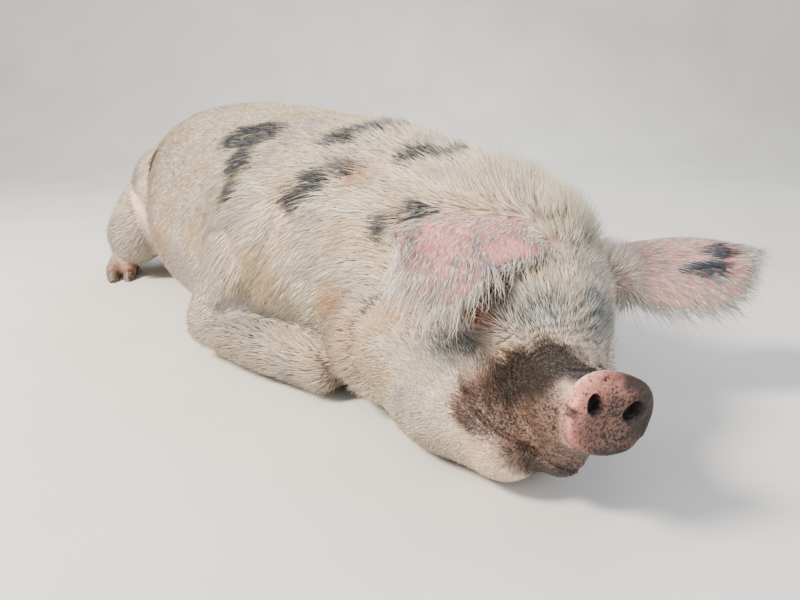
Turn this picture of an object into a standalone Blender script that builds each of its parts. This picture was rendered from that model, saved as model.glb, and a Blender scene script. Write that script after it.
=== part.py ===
"""A Gloucestershire Old Spots sow resting on her belly with her chin on the ground, life size.

The sow lies along X with her snout towards +X, her left side towards +Y and the floor at z = 0.
Her flesh is built from rounded masses that are fused and smoothed into one skin, and that skin is
then parted into head, neck, torso, tail and legs with thin cuts. Ears, eyes and claws are pieces of
their own, set against the flesh that carries them.
"""

import math
import random

import bmesh
import bpy
from mathutils import Euler, Matrix, Vector
from mathutils.bvhtree import BVHTree

# Driving sizes, in metres and degrees.
GAP = 0.0003
SNOUT_POINT = Vector((0.826, -0.037, 0.141))
HEAD_TURN = (27, 6, 19)
DISC_BEND = 22
EYE_PLACE = (-0.220, 0.027)
EYE_RADIUS = 0.0125
RIGHT, LEFT = -1, 1

COLOURS = {
    "skin": (0.78, 0.66, 0.58),
    "bare": (0.72, 0.42, 0.36),
    "eye": (0.03, 0.015, 0.01),
    "claw": (0.32, 0.26, 0.20),
}


def ball(centre, radii, turn=(0, 0, 0)):
    """A closed ellipsoid: its centre, half sizes and turn about X, Y and Z in degrees."""
    mesh = bmesh.new()
    bmesh.ops.create_icosphere(mesh, subdivisions=4, radius=1)
    size = Matrix.Diagonal((*radii, 1))
    pose = Euler([math.radians(a) for a in turn]).to_matrix().to_4x4()
    bmesh.ops.transform(mesh, matrix=Matrix.Translation(centre) @ pose @ size, verts=mesh.verts)
    return mesh


def hull(mesh):
    """Closes the convex hull round a mesh's points."""
    result = bmesh.ops.convex_hull(mesh, input=mesh.verts)
    inside = [e for e in result["geom_interior"] if isinstance(e, bmesh.types.BMVert)]
    bmesh.ops.delete(mesh, geom=inside, context="VERTS")
    return mesh


def limb(start, start_radius, end, end_radius):
    """A closed tapering capsule between two points."""
    mesh = bmesh.new()
    for point, radius in ((start, start_radius), (end, end_radius)):
        place = Matrix.Translation(point)
        bmesh.ops.create_icosphere(mesh, subdivisions=3, radius=radius, matrix=place)
    return hull(mesh)


def chain(points):
    """Capsules along a list of (x, y, z, radius)."""
    return [limb(a[:3], a[3], b[:3], b[3]) for a, b in zip(points, points[1:])]


def sided(side, point):
    """The point on the sow's right (-1) or left (1) for one written for her left."""
    return (point[0], side * point[1], *point[2:])


def both(make, point, *rest):
    """The same mass on the right and on the left."""
    return [make(sided(side, point), *rest) for side in (RIGHT, LEFT)]


def moved(masses, matrix):
    for mass in masses:
        bmesh.ops.transform(mass, matrix=matrix, verts=mass.verts)
    return masses


def head_matrix():
    """From the straight head, snout disc at its origin and poll behind at -X, to its place."""
    yaw, pitch, roll = (math.radians(a) for a in HEAD_TURN)
    turn = Matrix.Rotation(-yaw, 4, "Z") @ Matrix.Rotation(-pitch, 4, "Y") @ Matrix.Rotation(-roll, 4, "X")
    return Matrix.Translation(SNOUT_POINT) @ turn


# The trunk from rump to nape: x, y of its middle, top, bottom and half width.
TRUNK_SECTIONS = (
    (-0.775, 0.000, 0.285, 0.150, 0.060),
    (-0.755, 0.000, 0.335, 0.080, 0.125),
    (-0.700, 0.000, 0.388, 0.030, 0.190),
    (-0.600, 0.000, 0.422, 0.000, 0.230),
    (-0.450, 0.000, 0.440, -0.010, 0.252),
    (-0.280, 0.000, 0.446, -0.012, 0.274),
    (-0.100, 0.000, 0.440, -0.012, 0.268),
    (0.050, 0.000, 0.430, 0.000, 0.250),
    (0.180, 0.005, 0.420, 0.030, 0.232),
    (0.300, 0.025, 0.408, 0.045, 0.205),
    (0.410, 0.062, 0.380, 0.020, 0.178),
    (0.485, 0.102, 0.354, 0.010, 0.152),
    (0.540, 0.126, 0.308, 0.030, 0.116),
    (0.580, 0.130, 0.240, 0.080, 0.075),
)
SECTION_POINTS = 48
SECTION_STEPS = 5
WIDEST_LEVEL = 0.42
BACK_SQUARENESS, BELLY_SQUARENESS = 2.15, 2.7


def between(values, place):
    """A smooth curve through rows of values, read at a place from 0 to the last row's index."""
    index = min(int(place), len(values) - 2)
    t = place - index
    rows = [values[max(0, min(len(values) - 1, index + k))] for k in (-1, 0, 1, 2)]
    weights = (
        -0.5 * t + t**2 - 0.5 * t**3,
        1 - 2.5 * t**2 + 1.5 * t**3,
        0.5 * t + 2 * t**2 - 1.5 * t**3,
        -0.5 * t**2 + 0.5 * t**3,
    )
    return [sum(w * row[i] for w, row in zip(weights, rows)) for i in range(len(values[0]))]


def trunk_section(x, y, top, bottom, half_width):
    """One upright ring of the trunk: rounder over the back and squarer where the belly spreads."""
    widest = bottom + WIDEST_LEVEL * (top - bottom)
    ring = []
    for k in range(SECTION_POINTS):
        angle = math.tau * k / SECTION_POINTS
        across, up = math.cos(angle), math.sin(angle)
        power = 2 / (BACK_SQUARENESS if up > 0 else BELLY_SQUARENESS)
        height = (top - widest) if up > 0 else (widest - bottom)
        ring.append((
            x,
            y + half_width * math.copysign(abs(across) ** power, across),
            widest + height * math.copysign(abs(up) ** power, up),
        ))
    return ring


def trunk_mass():
    """Rump, barrel and neck as one lofted mass."""
    mesh = bmesh.new()
    steps = (len(TRUNK_SECTIONS) - 1) * SECTION_STEPS
    rings = []
    for k in range(steps + 1):
        row = between(TRUNK_SECTIONS, k / SECTION_STEPS)
        rings.append([mesh.verts.new(point) for point in trunk_section(*row)])
    for near, far in zip(rings, rings[1:]):
        for k in range(SECTION_POINTS):
            after = (k + 1) % SECTION_POINTS
            mesh.faces.new((near[k], near[after], far[after], far[k]))
    mesh.faces.new(rings[0])
    mesh.faces.new(rings[-1])
    bmesh.ops.recalc_face_normals(mesh, faces=mesh.faces)
    return mesh


def trunk_masses():
    """The loft with its shoulders, hams, and the throat and jowls that spread on the floor."""
    masses = [
        trunk_mass(),
        ball((0.420, -0.010, 0.100), (0.170, 0.150, 0.110)),
        ball((0.555, -0.018, 0.068), (0.150, 0.122, 0.086), (0, 0, -27)),
        ball((0.545, 0.125, 0.085), (0.120, 0.080, 0.092), (0, 0, -27)),
        ball((0.662, -0.045, 0.058), (0.095, 0.062, 0.062), (0, 0, -27)),
    ]
    masses += both(ball, (0.14, 0.155, 0.200), (0.17, 0.100, 0.140))
    masses += both(ball, (-0.585, 0.150, 0.185), (0.170, 0.118, 0.165))
    return masses


def leg_masses():
    """Forelegs and hind legs down to the fetlocks."""
    masses = []
    for legs in LEG_CHAINS.values():
        masses += chain(legs)
    return masses


# Each leg from its root to its fetlock: x, y, z and radius.
LEG_CHAINS = {
    "foreleg_right": (
        (0.17, -0.175, 0.190, 0.095),
        (0.100, -0.226, 0.075, 0.068),
        (0.225, -0.192, 0.056, 0.050),
        (0.350, -0.140, 0.044, 0.040),
        (0.245, -0.108, 0.033, 0.028),
    ),
    "foreleg_left": (
        (0.17, 0.175, 0.190, 0.095),
        (0.110, 0.228, 0.072, 0.066),
        (0.225, 0.244, 0.054, 0.048),
        (0.335, 0.266, 0.042, 0.038),
        (0.410, 0.284, 0.034, 0.029),
    ),
    "hindleg_right": (
        (-0.62, -0.170, 0.190, 0.105),
        (-0.560, -0.255, 0.118, 0.080),
        (-0.735, -0.255, 0.052, 0.044),
        (-0.620, -0.300, 0.038, 0.031),
    ),
    "hindleg_left": (
        (-0.62, 0.170, 0.190, 0.105),
        (-0.555, 0.255, 0.118, 0.080),
        (-0.725, 0.260, 0.052, 0.044),
        (-0.605, 0.306, 0.038, 0.031),
    ),
}

# Each foot: the way its toes point in degrees from +X, and whether its sole is down.
FEET = {
    "foreleg_right": (178, False),
    "foreleg_left": (10, True),
    "hindleg_right": (-14, True),
    "hindleg_left": (12, True),
}


def head_core_masses():
    """The straight head: cranium, bridge, muzzle, jaw, brows, cheeks, throat and jowls."""
    masses = [
        ball((-0.312, -0.003, 0.050), (0.108, 0.101, 0.098)),
        ball((-0.245, -0.006, 0.056), (0.095, 0.066, 0.058)),
        limb((-0.205, -0.006, 0.033), 0.054, (-0.122, -0.022, 0.000), 0.045),
        limb((-0.122, -0.022, 0.000), 0.045, (-0.048, -0.028, -0.012), 0.045),
        limb((-0.165, -0.013, -0.020), 0.064, (-0.042, -0.018, -0.015), 0.049),
        limb((-0.240, 0, -0.080), 0.070, (-0.064, -0.008, -0.074), 0.030),
        ball((-0.380, 0, -0.020), (0.130, 0.125, 0.130)),
    ]
    for side, width in ((RIGHT, 1), (LEFT, 0.60)):
        masses += [
            ball((-0.236, side * 0.052 * width, 0.064), (0.056, 0.034, 0.030)),
            ball((-0.242, side * 0.070 * width, 0.016), (0.070, 0.034, 0.042)),
            ball((-0.265, side * 0.070 * width, -0.042), (0.100, 0.056, 0.082)),
        ]
    masses += both(ball, (-0.345, 0.070, -0.055), (0.105, 0.080, 0.090))
    return masses


def head_detail_masses():
    """The snout disc of the straight head, turned a little to her left."""
    disc = bmesh.new()
    for x, shrink in ((-0.030, 0.92), (-0.014, 1.0), (0.0, 0.95)):
        for k in range(40):
            across, up = math.cos(math.radians(9 * k)), math.sin(math.radians(9 * k))
            across, up = (math.copysign(abs(v) ** 0.82, v) for v in (across, up))
            disc.verts.new((x, 0.003 + 0.060 * shrink * across, 0.049 * shrink * up))
    return moved([hull(disc)], disc_bend())


def disc_bend():
    """The snout disc's turn against the muzzle."""
    return Matrix.Rotation(math.radians(DISC_BEND), 4, "Z")


def foot_frame(name):
    """A foot's place: its fetlock, X towards the toes and Z towards the front of the foot."""
    x, y, z, _ = LEG_CHAINS[name][-1]
    heading, sole_down = FEET[name]
    place = Matrix.Translation((x, y, z)) @ Matrix.Rotation(math.radians(heading), 4, "Z")
    if not sole_down:
        place = place @ Matrix.Rotation(math.radians(180), 4, "X")
    return place


def joined(name, masses):
    """One object holding every mass, still overlapping."""
    whole = bmesh.new()
    for mass in masses:
        scrap = bpy.data.meshes.new("mass")
        mass.to_mesh(scrap)
        mass.free()
        whole.from_mesh(scrap)
        bpy.data.meshes.remove(scrap)
    mesh = bpy.data.meshes.new(name)
    whole.to_mesh(mesh)
    whole.free()
    obj = bpy.data.objects.new(name, mesh)
    bpy.context.scene.collection.objects.link(obj)
    return obj


def settle(obj):
    """Applies an object's modifiers."""
    bpy.context.view_layer.update()
    evaluated = obj.evaluated_get(bpy.context.evaluated_depsgraph_get())
    mesh = bpy.data.meshes.new_from_object(evaluated)
    obj.modifiers.clear()
    old, obj.data = obj.data, mesh
    bpy.data.meshes.remove(old)
    return obj


def fused(obj, voxel, rounds):
    """Fuses overlapping masses into one smooth closed skin."""
    remesh = obj.modifiers.new("fuse", "REMESH")
    remesh.mode = "VOXEL"
    remesh.voxel_size = voxel
    smooth = obj.modifiers.new("smooth", "SMOOTH")
    smooth.factor = 0.5
    smooth.iterations = rounds
    return settle(obj)


def soft_mass(masses, voxel, rounds):
    """Masses melted together coarsely, as one mass of the next, finer fusion."""
    obj = fused(joined("core", masses), voxel, rounds)
    core = bmesh.new()
    core.from_mesh(obj.data)
    mesh = obj.data
    bpy.data.objects.remove(obj)
    bpy.data.meshes.remove(mesh)
    return core


def whole_skin(voxel):
    """The sow's whole skin, smooth and closed, resting flat on the floor."""
    place = head_matrix()
    trunk = soft_mass(trunk_masses(), 0.014, 22)
    head = soft_mass(moved(head_core_masses(), place), 0.009, 16)
    legs = soft_mass(leg_masses(), 0.009, 8)
    details = moved(head_detail_masses(), place) + toe_masses()
    skin = fused(joined("skin", [trunk, head, legs] + details), voxel, round(0.00024 / voxel**2))
    for vertex in skin.data.vertices:
        vertex.co.z = max(vertex.co.z, 0)
    return skin


# Feet: two toes with their claws, and two dewclaws behind them.
TOE_REACH, TOE_SPREAD, TOE_RADIUS = 0.040, 0.0185, 0.021
CLAW_RINGS = ((0.034, 0.0145, 0.036), (0.066, 0.0135, 0.025), (0.090, 0.0050, 0.007))
DEW_PLACE, DEW_SPREAD, DEW_LENGTH, DEW_RADIUS = 0.002, 0.034, 0.030, 0.0085


def sole_level(name):
    """How far the sole lies below the fetlock, along the foot's own Z."""
    height = LEG_CHAINS[name][-1][2]
    sole_down = FEET[name][1]
    return -height if sole_down else height - CLAW_RINGS[0][2]


def toe_masses():
    masses = []
    for name in LEG_CHAINS:
        level = sole_level(name)
        radius = LEG_CHAINS[name][-1][3]
        for side in (RIGHT, LEFT):
            toe = (TOE_REACH, side * TOE_SPREAD, level + TOE_RADIUS)
            dew = (DEW_PLACE, side * (DEW_SPREAD - 0.006), level + 0.014)
            masses += moved(
                [limb((0, 0, 0), radius, toe, TOE_RADIUS), ball(dew, (0.015, 0.011, 0.012))],
                foot_frame(name),
            )
    return masses


def arch(mesh, x, y, level, half_width, height):
    """Points of one upright ring of a claw, flat below and round above."""
    for corner in (-half_width, half_width):
        mesh.verts.new((x, y + corner, level))
    for k in range(5):
        angle = math.pi * k / 4
        lift = height * (0.45 + 0.55 * math.sin(angle))
        mesh.verts.new((x, y + half_width * math.cos(angle), level + lift))


def claws(name):
    """The four claws of a foot, by name."""
    level = sole_level(name)
    found = {}
    for side, word in ((RIGHT, "a"), (LEFT, "b")):
        claw = bmesh.new()
        for reach, half_width, height in CLAW_RINGS:
            arch(claw, reach, side * TOE_SPREAD, level, half_width, height)
        dew = bmesh.new()
        for share, half_width in ((0, DEW_RADIUS), (0.6, 0.8 * DEW_RADIUS), (1, 0.35 * DEW_RADIUS)):
            reach = DEW_PLACE + share * DEW_LENGTH
            arch(dew, reach, side * DEW_SPREAD, level + 0.004, half_width, 2 * half_width)
        for kind, mesh in (("claw", claw), ("dewclaw", dew)):
            mesh = moved([hull(mesh)], foot_frame(name))[0]
            found[f"{kind}_{name}_{word}"] = joined(f"{kind}_{name}_{word}", [mesh])
    return found


def tube(path, radii, sides):
    """A closed tube of changing radius through a smooth path."""
    mesh = bmesh.new()
    rings = []
    first = (path[1] - path[0]).normalized()
    normal = min((Vector(axis) for axis in Matrix.Identity(3)), key=lambda axis: abs(axis.dot(first)))
    for k, (point, radius) in enumerate(zip(path, radii)):
        before, after = path[max(k - 1, 0)], path[min(k + 1, len(path) - 1)]
        tangent = (after - before).normalized()
        normal = (normal - tangent * normal.dot(tangent)).normalized()
        side = tangent.cross(normal)
        rings.append([
            mesh.verts.new(point + radius * (math.cos(a) * normal + math.sin(a) * side))
            for a in (math.tau * j / sides for j in range(sides))
        ])
    for near, far in zip(rings, rings[1:]):
        for j in range(sides):
            after = (j + 1) % sides
            mesh.faces.new((near[j], near[after], far[after], far[j]))
    mesh.faces.new(rings[0])
    mesh.faces.new(rings[-1])
    bmesh.ops.recalc_face_normals(mesh, faces=mesh.faces)
    return mesh


# The tail hangs from its root with one loose curl: x, y, z and radius.
TAIL_POINTS = (
    (-0.735, 0.000, 0.300, 0.022),
    (-0.775, 0.002, 0.300, 0.021),
    (-0.812, 0.008, 0.283, 0.018),
    (-0.826, 0.022, 0.248, 0.015),
    (-0.818, 0.036, 0.214, 0.013),
    (-0.806, 0.030, 0.184, 0.011),
    (-0.812, 0.010, 0.160, 0.009),
    (-0.828, -0.004, 0.136, 0.006),
)


def tail_mass(steps, sides):
    count = (len(TAIL_POINTS) - 1) * steps
    rows = [between(TAIL_POINTS, k / steps) for k in range(count + 1)]
    return tube([Vector(row[:3]) for row in rows], [row[3] for row in rows], sides)


# Each ear in the straight head's frame: root, way its spine runs, its back's outward way,
# length, half width, droop at the tip, how tightly it is rolled at root and tip in degrees, how
# far the front of its tip hangs, and how wide its front half is from root to tip.
EARS = {
    "ear_right": dict(
        root=(-0.294, -0.040, 0.160), spine=(0.46, -0.87, -0.22), back=(0.34, 0.10, 0.93),
        length=0.232, half_width=0.104, droop=0.034, roll=(56, 36), hang=0.034,
        front=((0.66,), (0.56,), (0.50,), (0.52,), (0.70,), (0.82,), (0.76,)),
    ),
    "ear_left": dict(
        root=(-0.335, 0.070, 0.152), spine=(0.03, 0.91, 0.42), back=(0.46, -0.28, 0.84),
        length=0.225, half_width=0.102, droop=0.026, roll=(96, 60), hang=0.0, front=((1.0,), (1.0,)),
    ),
}
EAR_THICKNESS = (0.009, 0.0045)
EAR_SUNK = 0.030
EAR_WIDEST = 0.50


def ear_point(ear, u, v, inner=False):
    """A point of an ear: u from root to tip, v across from its back edge (-1) to its front edge (1)."""
    spine = Vector(ear["spine"]).normalized()
    back = Vector(ear["back"])
    back = (back - spine * back.dot(spine)).normalized()
    front = back.cross(spine) if ear["root"][1] < 0 else spine.cross(back)
    share = max(u, 0)
    if v > 0:
        v *= between(ear["front"], min(share, 1) * (len(ear["front"]) - 1))[0]
    if share < EAR_WIDEST:
        width = 0.74 + 0.26 * math.sin(0.5 * math.pi * share / EAR_WIDEST)
    else:
        width = max(1 - ((share - EAR_WIDEST) / (1 - EAR_WIDEST)) ** 2.3, 0) ** 0.62
    width *= ear["half_width"]
    half_angle = math.radians(ear["roll"][0] + (ear["roll"][1] - ear["roll"][0]) * min(share * 1.7, 1) ** 0.7)
    radius = max(width, 0.004) / half_angle
    thick = EAR_THICKNESS[0] + (EAR_THICKNESS[1] - EAR_THICKNESS[0]) * max(share, abs(v) ** 2)
    middle = Vector(ear["root"]) + spine * (ear["length"] * u) - back * (ear["droop"] * share**2)
    middle.z -= ear["hang"] * min(share * 1.2, 1) ** 2 * min(max(v + 0.3, 0), 1)
    angle = half_angle * v
    reach = max(radius - thick, 0.001) if inner else radius
    return middle - back * radius + reach * (back * math.cos(angle) + front * math.sin(angle))


def ear_mass(name, rows, columns):
    """One ear as a closed leaf, with its root long enough to sink into the head."""
    ear = EARS[name]
    mesh = bmesh.new()
    shares = [-EAR_SUNK / ear["length"]] + [math.sin(0.5 * math.pi * k / rows) for k in range(rows)] + [0.995]
    sheets = []
    for inner in (False, True):
        sheets.append([
            [mesh.verts.new(ear_point(ear, u, 2 * j / columns - 1, inner)) for j in range(columns + 1)]
            for u in shares
        ])
    for sheet in sheets:
        for near, far in zip(sheet, sheet[1:]):
            for j in range(columns):
                mesh.faces.new((near[j], near[j + 1], far[j + 1], far[j]))
    outer, inner = sheets
    for j in (0, columns):
        for near, far, near_in, far_in in zip(outer, outer[1:], inner, inner[1:]):
            mesh.faces.new((near[j], far[j], far_in[j], near_in[j]))
    for k in (0, -1):
        for j in range(columns):
            mesh.faces.new((outer[k][j], outer[k][j + 1], inner[k][j + 1], inner[k][j]))
    bmesh.ops.recalc_face_normals(mesh, faces=mesh.faces)
    bmesh.ops.triangulate(mesh, faces=mesh.faces)
    return moved([mesh], head_matrix())[0]


def grown(obj, distance):
    """A hidden copy of an object with its surface moved out."""
    copy = obj.copy()
    copy.data = obj.data.copy()
    bpy.context.scene.collection.objects.link(copy)
    normals = [vertex.normal.copy() for vertex in copy.data.vertices]
    for vertex, normal in zip(copy.data.vertices, normals):
        vertex.co += normal * distance
    return copy


def volume(mesh_data):
    mesh = bmesh.new()
    mesh.from_mesh(mesh_data)
    amount = mesh.calc_volume()
    mesh.free()
    return amount


def boolean(obj, other, operation):
    """Applies one Boolean with an object or a collection, exact unless that loses the piece."""
    start = obj.data.copy()
    for solver in ("EXACT", "MANIFOLD"):
        obj.data = start.copy()
        modifier = obj.modifiers.new("boolean", "BOOLEAN")
        modifier.operation = operation
        modifier.solver = solver
        if isinstance(other, bpy.types.Collection):
            modifier.operand_type = "COLLECTION"
            modifier.collection = other
        else:
            modifier.object = other
        settle(obj)
        if operation == "INTERSECT" or volume(obj.data) > 0.5 * volume(start):
            break
    bpy.data.meshes.remove(start)
    return obj


def remove(obj):
    mesh = obj.data
    bpy.data.objects.remove(obj)
    bpy.data.meshes.remove(mesh)


def cut_clear(obj, other, distance=GAP):
    """Cuts away where another piece is, with a gap."""
    cutter = grown(other, distance)
    boolean(obj, cutter, "DIFFERENCE")
    remove(cutter)
    return obj


def parted(obj, name, cutter):
    """Parts what lies inside a cutter from an object, as a new object, with a gap between them."""
    piece = obj.copy()
    piece.data = obj.data.copy()
    piece.name = name
    bpy.context.scene.collection.objects.link(piece)
    boolean(piece, cutter, "INTERSECT")
    cut_clear(obj, cutter)
    remove(cutter)
    return keep_largest(piece)


def keep_largest(obj):
    """Keeps the largest closed surface of an object."""
    mesh = bmesh.new()
    mesh.from_mesh(obj.data)
    bmesh.ops.triangulate(mesh, faces=mesh.faces)
    left = set(mesh.verts)
    islands = []
    while left:
        grow = [left.pop()]
        island = set(grow)
        while grow:
            for edge in grow.pop().link_edges:
                for vertex in edge.verts:
                    if vertex in left:
                        left.remove(vertex)
                        island.add(vertex)
                        grow.append(vertex)
        islands.append(island)
    islands.sort(key=len)
    scraps = [vertex for island in islands[:-1] for vertex in island]
    bmesh.ops.delete(mesh, geom=scraps, context="VERTS")
    mesh.to_mesh(obj.data)
    mesh.free()
    return obj


def block(low, high, matrix=Matrix.Identity(4)):
    """A box cutter between two corners."""
    mesh = bmesh.new()
    bmesh.ops.create_cube(mesh, size=1)
    size = Vector(high) - Vector(low)
    middle = (Vector(high) + Vector(low)) / 2
    place = matrix @ Matrix.Translation(middle) @ Matrix.Diagonal((*size, 1))
    bmesh.ops.transform(mesh, matrix=place, verts=mesh.verts)
    return joined("cutter", [mesh])


def finish(obj, name, colour):
    """Names a piece and gives it its material."""
    obj.name = name
    obj.data.name = name
    material = bpy.data.materials.get(colour)
    if material is None:
        material = bpy.data.materials.new(colour)
        material.use_nodes = True
        shader = material.node_tree.nodes["Principled BSDF"]
        shader.inputs["Base Color"].default_value = (*COLOURS[colour], 1)
        shader.inputs["Roughness"].default_value = 0.2 if colour == "eye" else 0.7
    obj.data.materials.clear()
    obj.data.materials.append(material)
    obj.data.shade_smooth()
    obj.data.set_sharp_from_angle(angle=math.radians(40))


# Where the skin is parted: a point on each plane and its turn about the vertical, in degrees.
HEAD_CUT = ((0.470, 0.090, 0), -17)
NECK_CUT = ((0.230, 0.020, 0), -6)
DISC_BACK = -0.020
LEG_MARGIN = 0.010


def beyond(point, turn):
    """A cutter of all that lies forward of an upright plane."""
    place = Matrix.Translation(point) @ Matrix.Rotation(math.radians(turn), 4, "Z")
    return block((0, -0.7, -0.3), (0.8, 0.7, 0.7), place)


def leg_cutter(name):
    """A rounded cutter round one leg and its foot."""
    points = [(x, y, z, radius + LEG_MARGIN) for x, y, z, radius in LEG_CHAINS[name]]
    toes = (CLAW_RINGS[1][0], 0, sole_level(name) + TOE_RADIUS)
    masses = chain(points) + moved([limb((0, 0, 0), 0.055, toes, 0.055)], foot_frame(name))
    core = soft_mass(masses, 0.014, 8)
    cutter = joined("cutter", [core])
    thin = cutter.modifiers.new("thin", "DECIMATE")
    thin.ratio = 0.035
    return settle(cutter)


def parted_skin(skin):
    """The skin's nodes by name."""
    nodes = {}
    disc = block((DISC_BACK, -0.09, -0.08), (0.08, 0.09, 0.09), head_matrix() @ disc_bend())
    nodes["snout"] = parted(skin, "snout", disc)
    for name in LEG_CHAINS:
        nodes[name] = parted(skin, name, leg_cutter(name))
    nodes["head"] = parted(skin, "head", beyond(*HEAD_CUT))
    nodes["neck"] = parted(skin, "neck", beyond(*NECK_CUT))
    nodes["torso"] = keep_largest(skin)
    return nodes


# Eyes and lids, in a frame at the eye: X to the front corner, Y outwards and Z up.
EYE_SUNK = {RIGHT: 0.0085, LEFT: 0.0120}
EYE_FORWARD = 0.75
LID_ROUND = 0.0145
UPPER_LID = (24, 0.0048)
LOWER_LID = (-24, 0.0040)


def eye_frame(side, surface):
    """An eye's place, just under the skin at the side of the head."""
    place = head_matrix()
    x, z = EYE_PLACE
    start = place @ Vector((x, side * 0.30, z))
    inward = (place.to_3x3() @ Vector((0, -side, 0))).normalized()
    point, normal, _, _ = surface.ray_cast(start, inward)
    outward = (normal + EYE_FORWARD * (place.to_3x3() @ Vector((1, 0, 0.2)))).normalized()
    front = place.to_3x3() @ Vector((0.97, 0, 0.16))
    front = (front - outward * front.dot(outward)).normalized()
    up = front.cross(outward) * -side
    frame = Matrix((front, outward, up)).transposed().to_4x4()
    return Matrix.Translation(point - outward * EYE_SUNK[side]) @ frame


def lid_mass(frame, lid):
    """One lid as an arc over the eyeball, thickest at its middle."""
    lift, thick = lid
    path, radii = [], []
    for k in range(9):
        along = math.radians(-72 + 18 * k)
        up = math.radians(lift) * math.cos(along) + 0.06 * math.sin(along)
        path.append(frame @ Vector((
            LID_ROUND * 1.3 * math.sin(along),
            LID_ROUND * math.cos(along) * math.cos(up),
            LID_ROUND * math.sin(up),
        )))
        radii.append(thick * (0.45 + 0.55 * math.cos(along)))
    return tube(path, radii, 8)


def eyes_and_lids(head):
    """The eyeballs, with the head's lids round them."""
    surface = BVHTree.FromObject(head, bpy.context.evaluated_depsgraph_get())
    frames = {side: eye_frame(side, surface) for side in (RIGHT, LEFT)}
    found = {}
    for side, name in ((RIGHT, "eye_right"), (LEFT, "eye_left")):
        for lid in (UPPER_LID, LOWER_LID):
            mass = joined("lid", [lid_mass(frames[side], lid)])
            boolean(head, mass, "UNION")
            remove(mass)
        ball_mesh = bmesh.new()
        bmesh.ops.create_uvsphere(ball_mesh, u_segments=12, v_segments=8, radius=EYE_RADIUS)
        turn = Matrix.Rotation(math.radians(-90), 4, "X")
        moved([ball_mesh], frames[side] @ turn)
        bmesh.ops.recalc_face_normals(ball_mesh, faces=ball_mesh.faces)
        eye = joined(name, [ball_mesh])
        cut_clear(head, eye)
        found[name] = eye
    return found


# The mouth line, seen from above the jaw: its corners' angle and its height at corner and front.
MOUTH_PIVOT = (-0.125, -0.012)
MOUTH_ANGLE = 84
MOUTH_HEIGHTS = (-0.066, -0.082)
MOUTH_RADIUS = 0.0026


def mouth_line(head):
    """Cuts the closed mouth's line from corner to corner under the snout disc."""
    place = head_matrix()
    surface = BVHTree.FromObject(head, bpy.context.evaluated_depsgraph_get())
    path = []
    for k in range(25):
        angle = math.radians(MOUTH_ANGLE) * (k / 12 - 1)
        height = MOUTH_HEIGHTS[1] + (MOUTH_HEIGHTS[0] - MOUTH_HEIGHTS[1]) * abs(k / 12 - 1) ** 1.5
        way = place.to_3x3() @ Vector((math.cos(angle), math.sin(angle), 0))
        start = place @ Vector((*MOUTH_PIVOT, height)) + way * 0.2
        point = surface.ray_cast(start, -way)[0]
        if point is not None:
            path.append(point - way * 0.001)
    radii = [MOUTH_RADIUS * (1.5 if k in (0, len(path) - 1) else 1) for k in range(len(path))]
    line = joined("mouth", [tube(path, radii, 6)])
    boolean(head, line, "DIFFERENCE")
    remove(line)
    return keep_largest(head)


# Nostrils in the disc's own frame: half distance apart, height and half sizes.
NOSTRIL_SPREAD, NOSTRIL_HEIGHT = 0.0275, 0.009
NOSTRIL_SIZE = (0.014, 0.0075, 0.0105)


def nostrils(snout):
    place = head_matrix() @ disc_bend()
    for side in (RIGHT, LEFT):
        pit = ball((0, side * NOSTRIL_SPREAD, NOSTRIL_HEIGHT), NOSTRIL_SIZE, (side * 18, 0, 0))
        cutter = joined("nostril", moved([pit], place))
        thin = cutter.modifiers.new("thin", "DECIMATE")
        thin.ratio = 0.06
        settle(cutter)
        boolean(snout, cutter, "DIFFERENCE")
        remove(cutter)
    return keep_largest(snout)


# Locks of bristles: how deep a root is sunk, how flat a lock is, and the rings of its taper.
LOCK_SUNK = 0.006
LOCK_CLEAR = 0.001
LOCK_FLATNESS = 0.24
LOCK_RINGS = ((0.10, 1.0), (0.45, 0.80), (0.78, 0.46))


def lock(root, along, across, length, width, bend=(0, 0, 0)):
    """A flat tapering lock, closed: its root, the ways along and across it, length, width and tip bend."""
    mesh = bmesh.new()
    along = along.normalized()
    across = (across - along * across.dot(along)).normalized()
    flat = along.cross(across) * LOCK_FLATNESS
    rings = []
    for share, size in ((-LOCK_SUNK / length, 0.8), *LOCK_RINGS):
        middle = root + along * (length * share) + Vector(bend) * max(share, 0) ** 2
        rings.append([
            mesh.verts.new(middle + way * (0.5 * width * size)) for way in (across, flat, -across, -flat)
        ])
    tip = mesh.verts.new(root + along * length + Vector(bend))
    for near, far in zip(rings, rings[1:]):
        for k in range(4):
            after = (k + 1) % 4
            mesh.faces.new((near[k], near[after], far[after], far[k]))
    for k in range(4):
        mesh.faces.new((rings[-1][k], rings[-1][(k + 1) % 4], tip))
    mesh.faces.new(rings[0])
    bmesh.ops.recalc_face_normals(mesh, faces=mesh.faces)
    return mesh


def apart(mesh, trees):
    """Whether a lock stays clear of other pieces."""
    own = BVHTree.FromBMesh(mesh)
    near = [tree.find_nearest(vertex.co)[3] for tree in trees for vertex in mesh.verts]
    return min(near, default=1) > LOCK_CLEAR and not any(own.overlap(tree) for tree in trees)


def with_locks(obj, locks, others=()):
    """Fuses locks with the piece that carries them, leaving out those that would meet another piece."""
    graph = bpy.context.evaluated_depsgraph_get()
    trees = [BVHTree.FromObject(other, graph) for other in others]
    locks = [mesh for mesh in locks if mesh and apart(mesh, trees)]
    group = bpy.data.collections.new("locks")
    bpy.context.scene.collection.children.link(group)
    pieces = [joined("lock", [mesh]) for mesh in locks]
    for piece in pieces:
        group.objects.link(piece)
    boolean(obj, group, "UNION")
    for piece in pieces:
        remove(piece)
    bpy.data.collections.remove(group)
    return keep_largest(obj)


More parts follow.
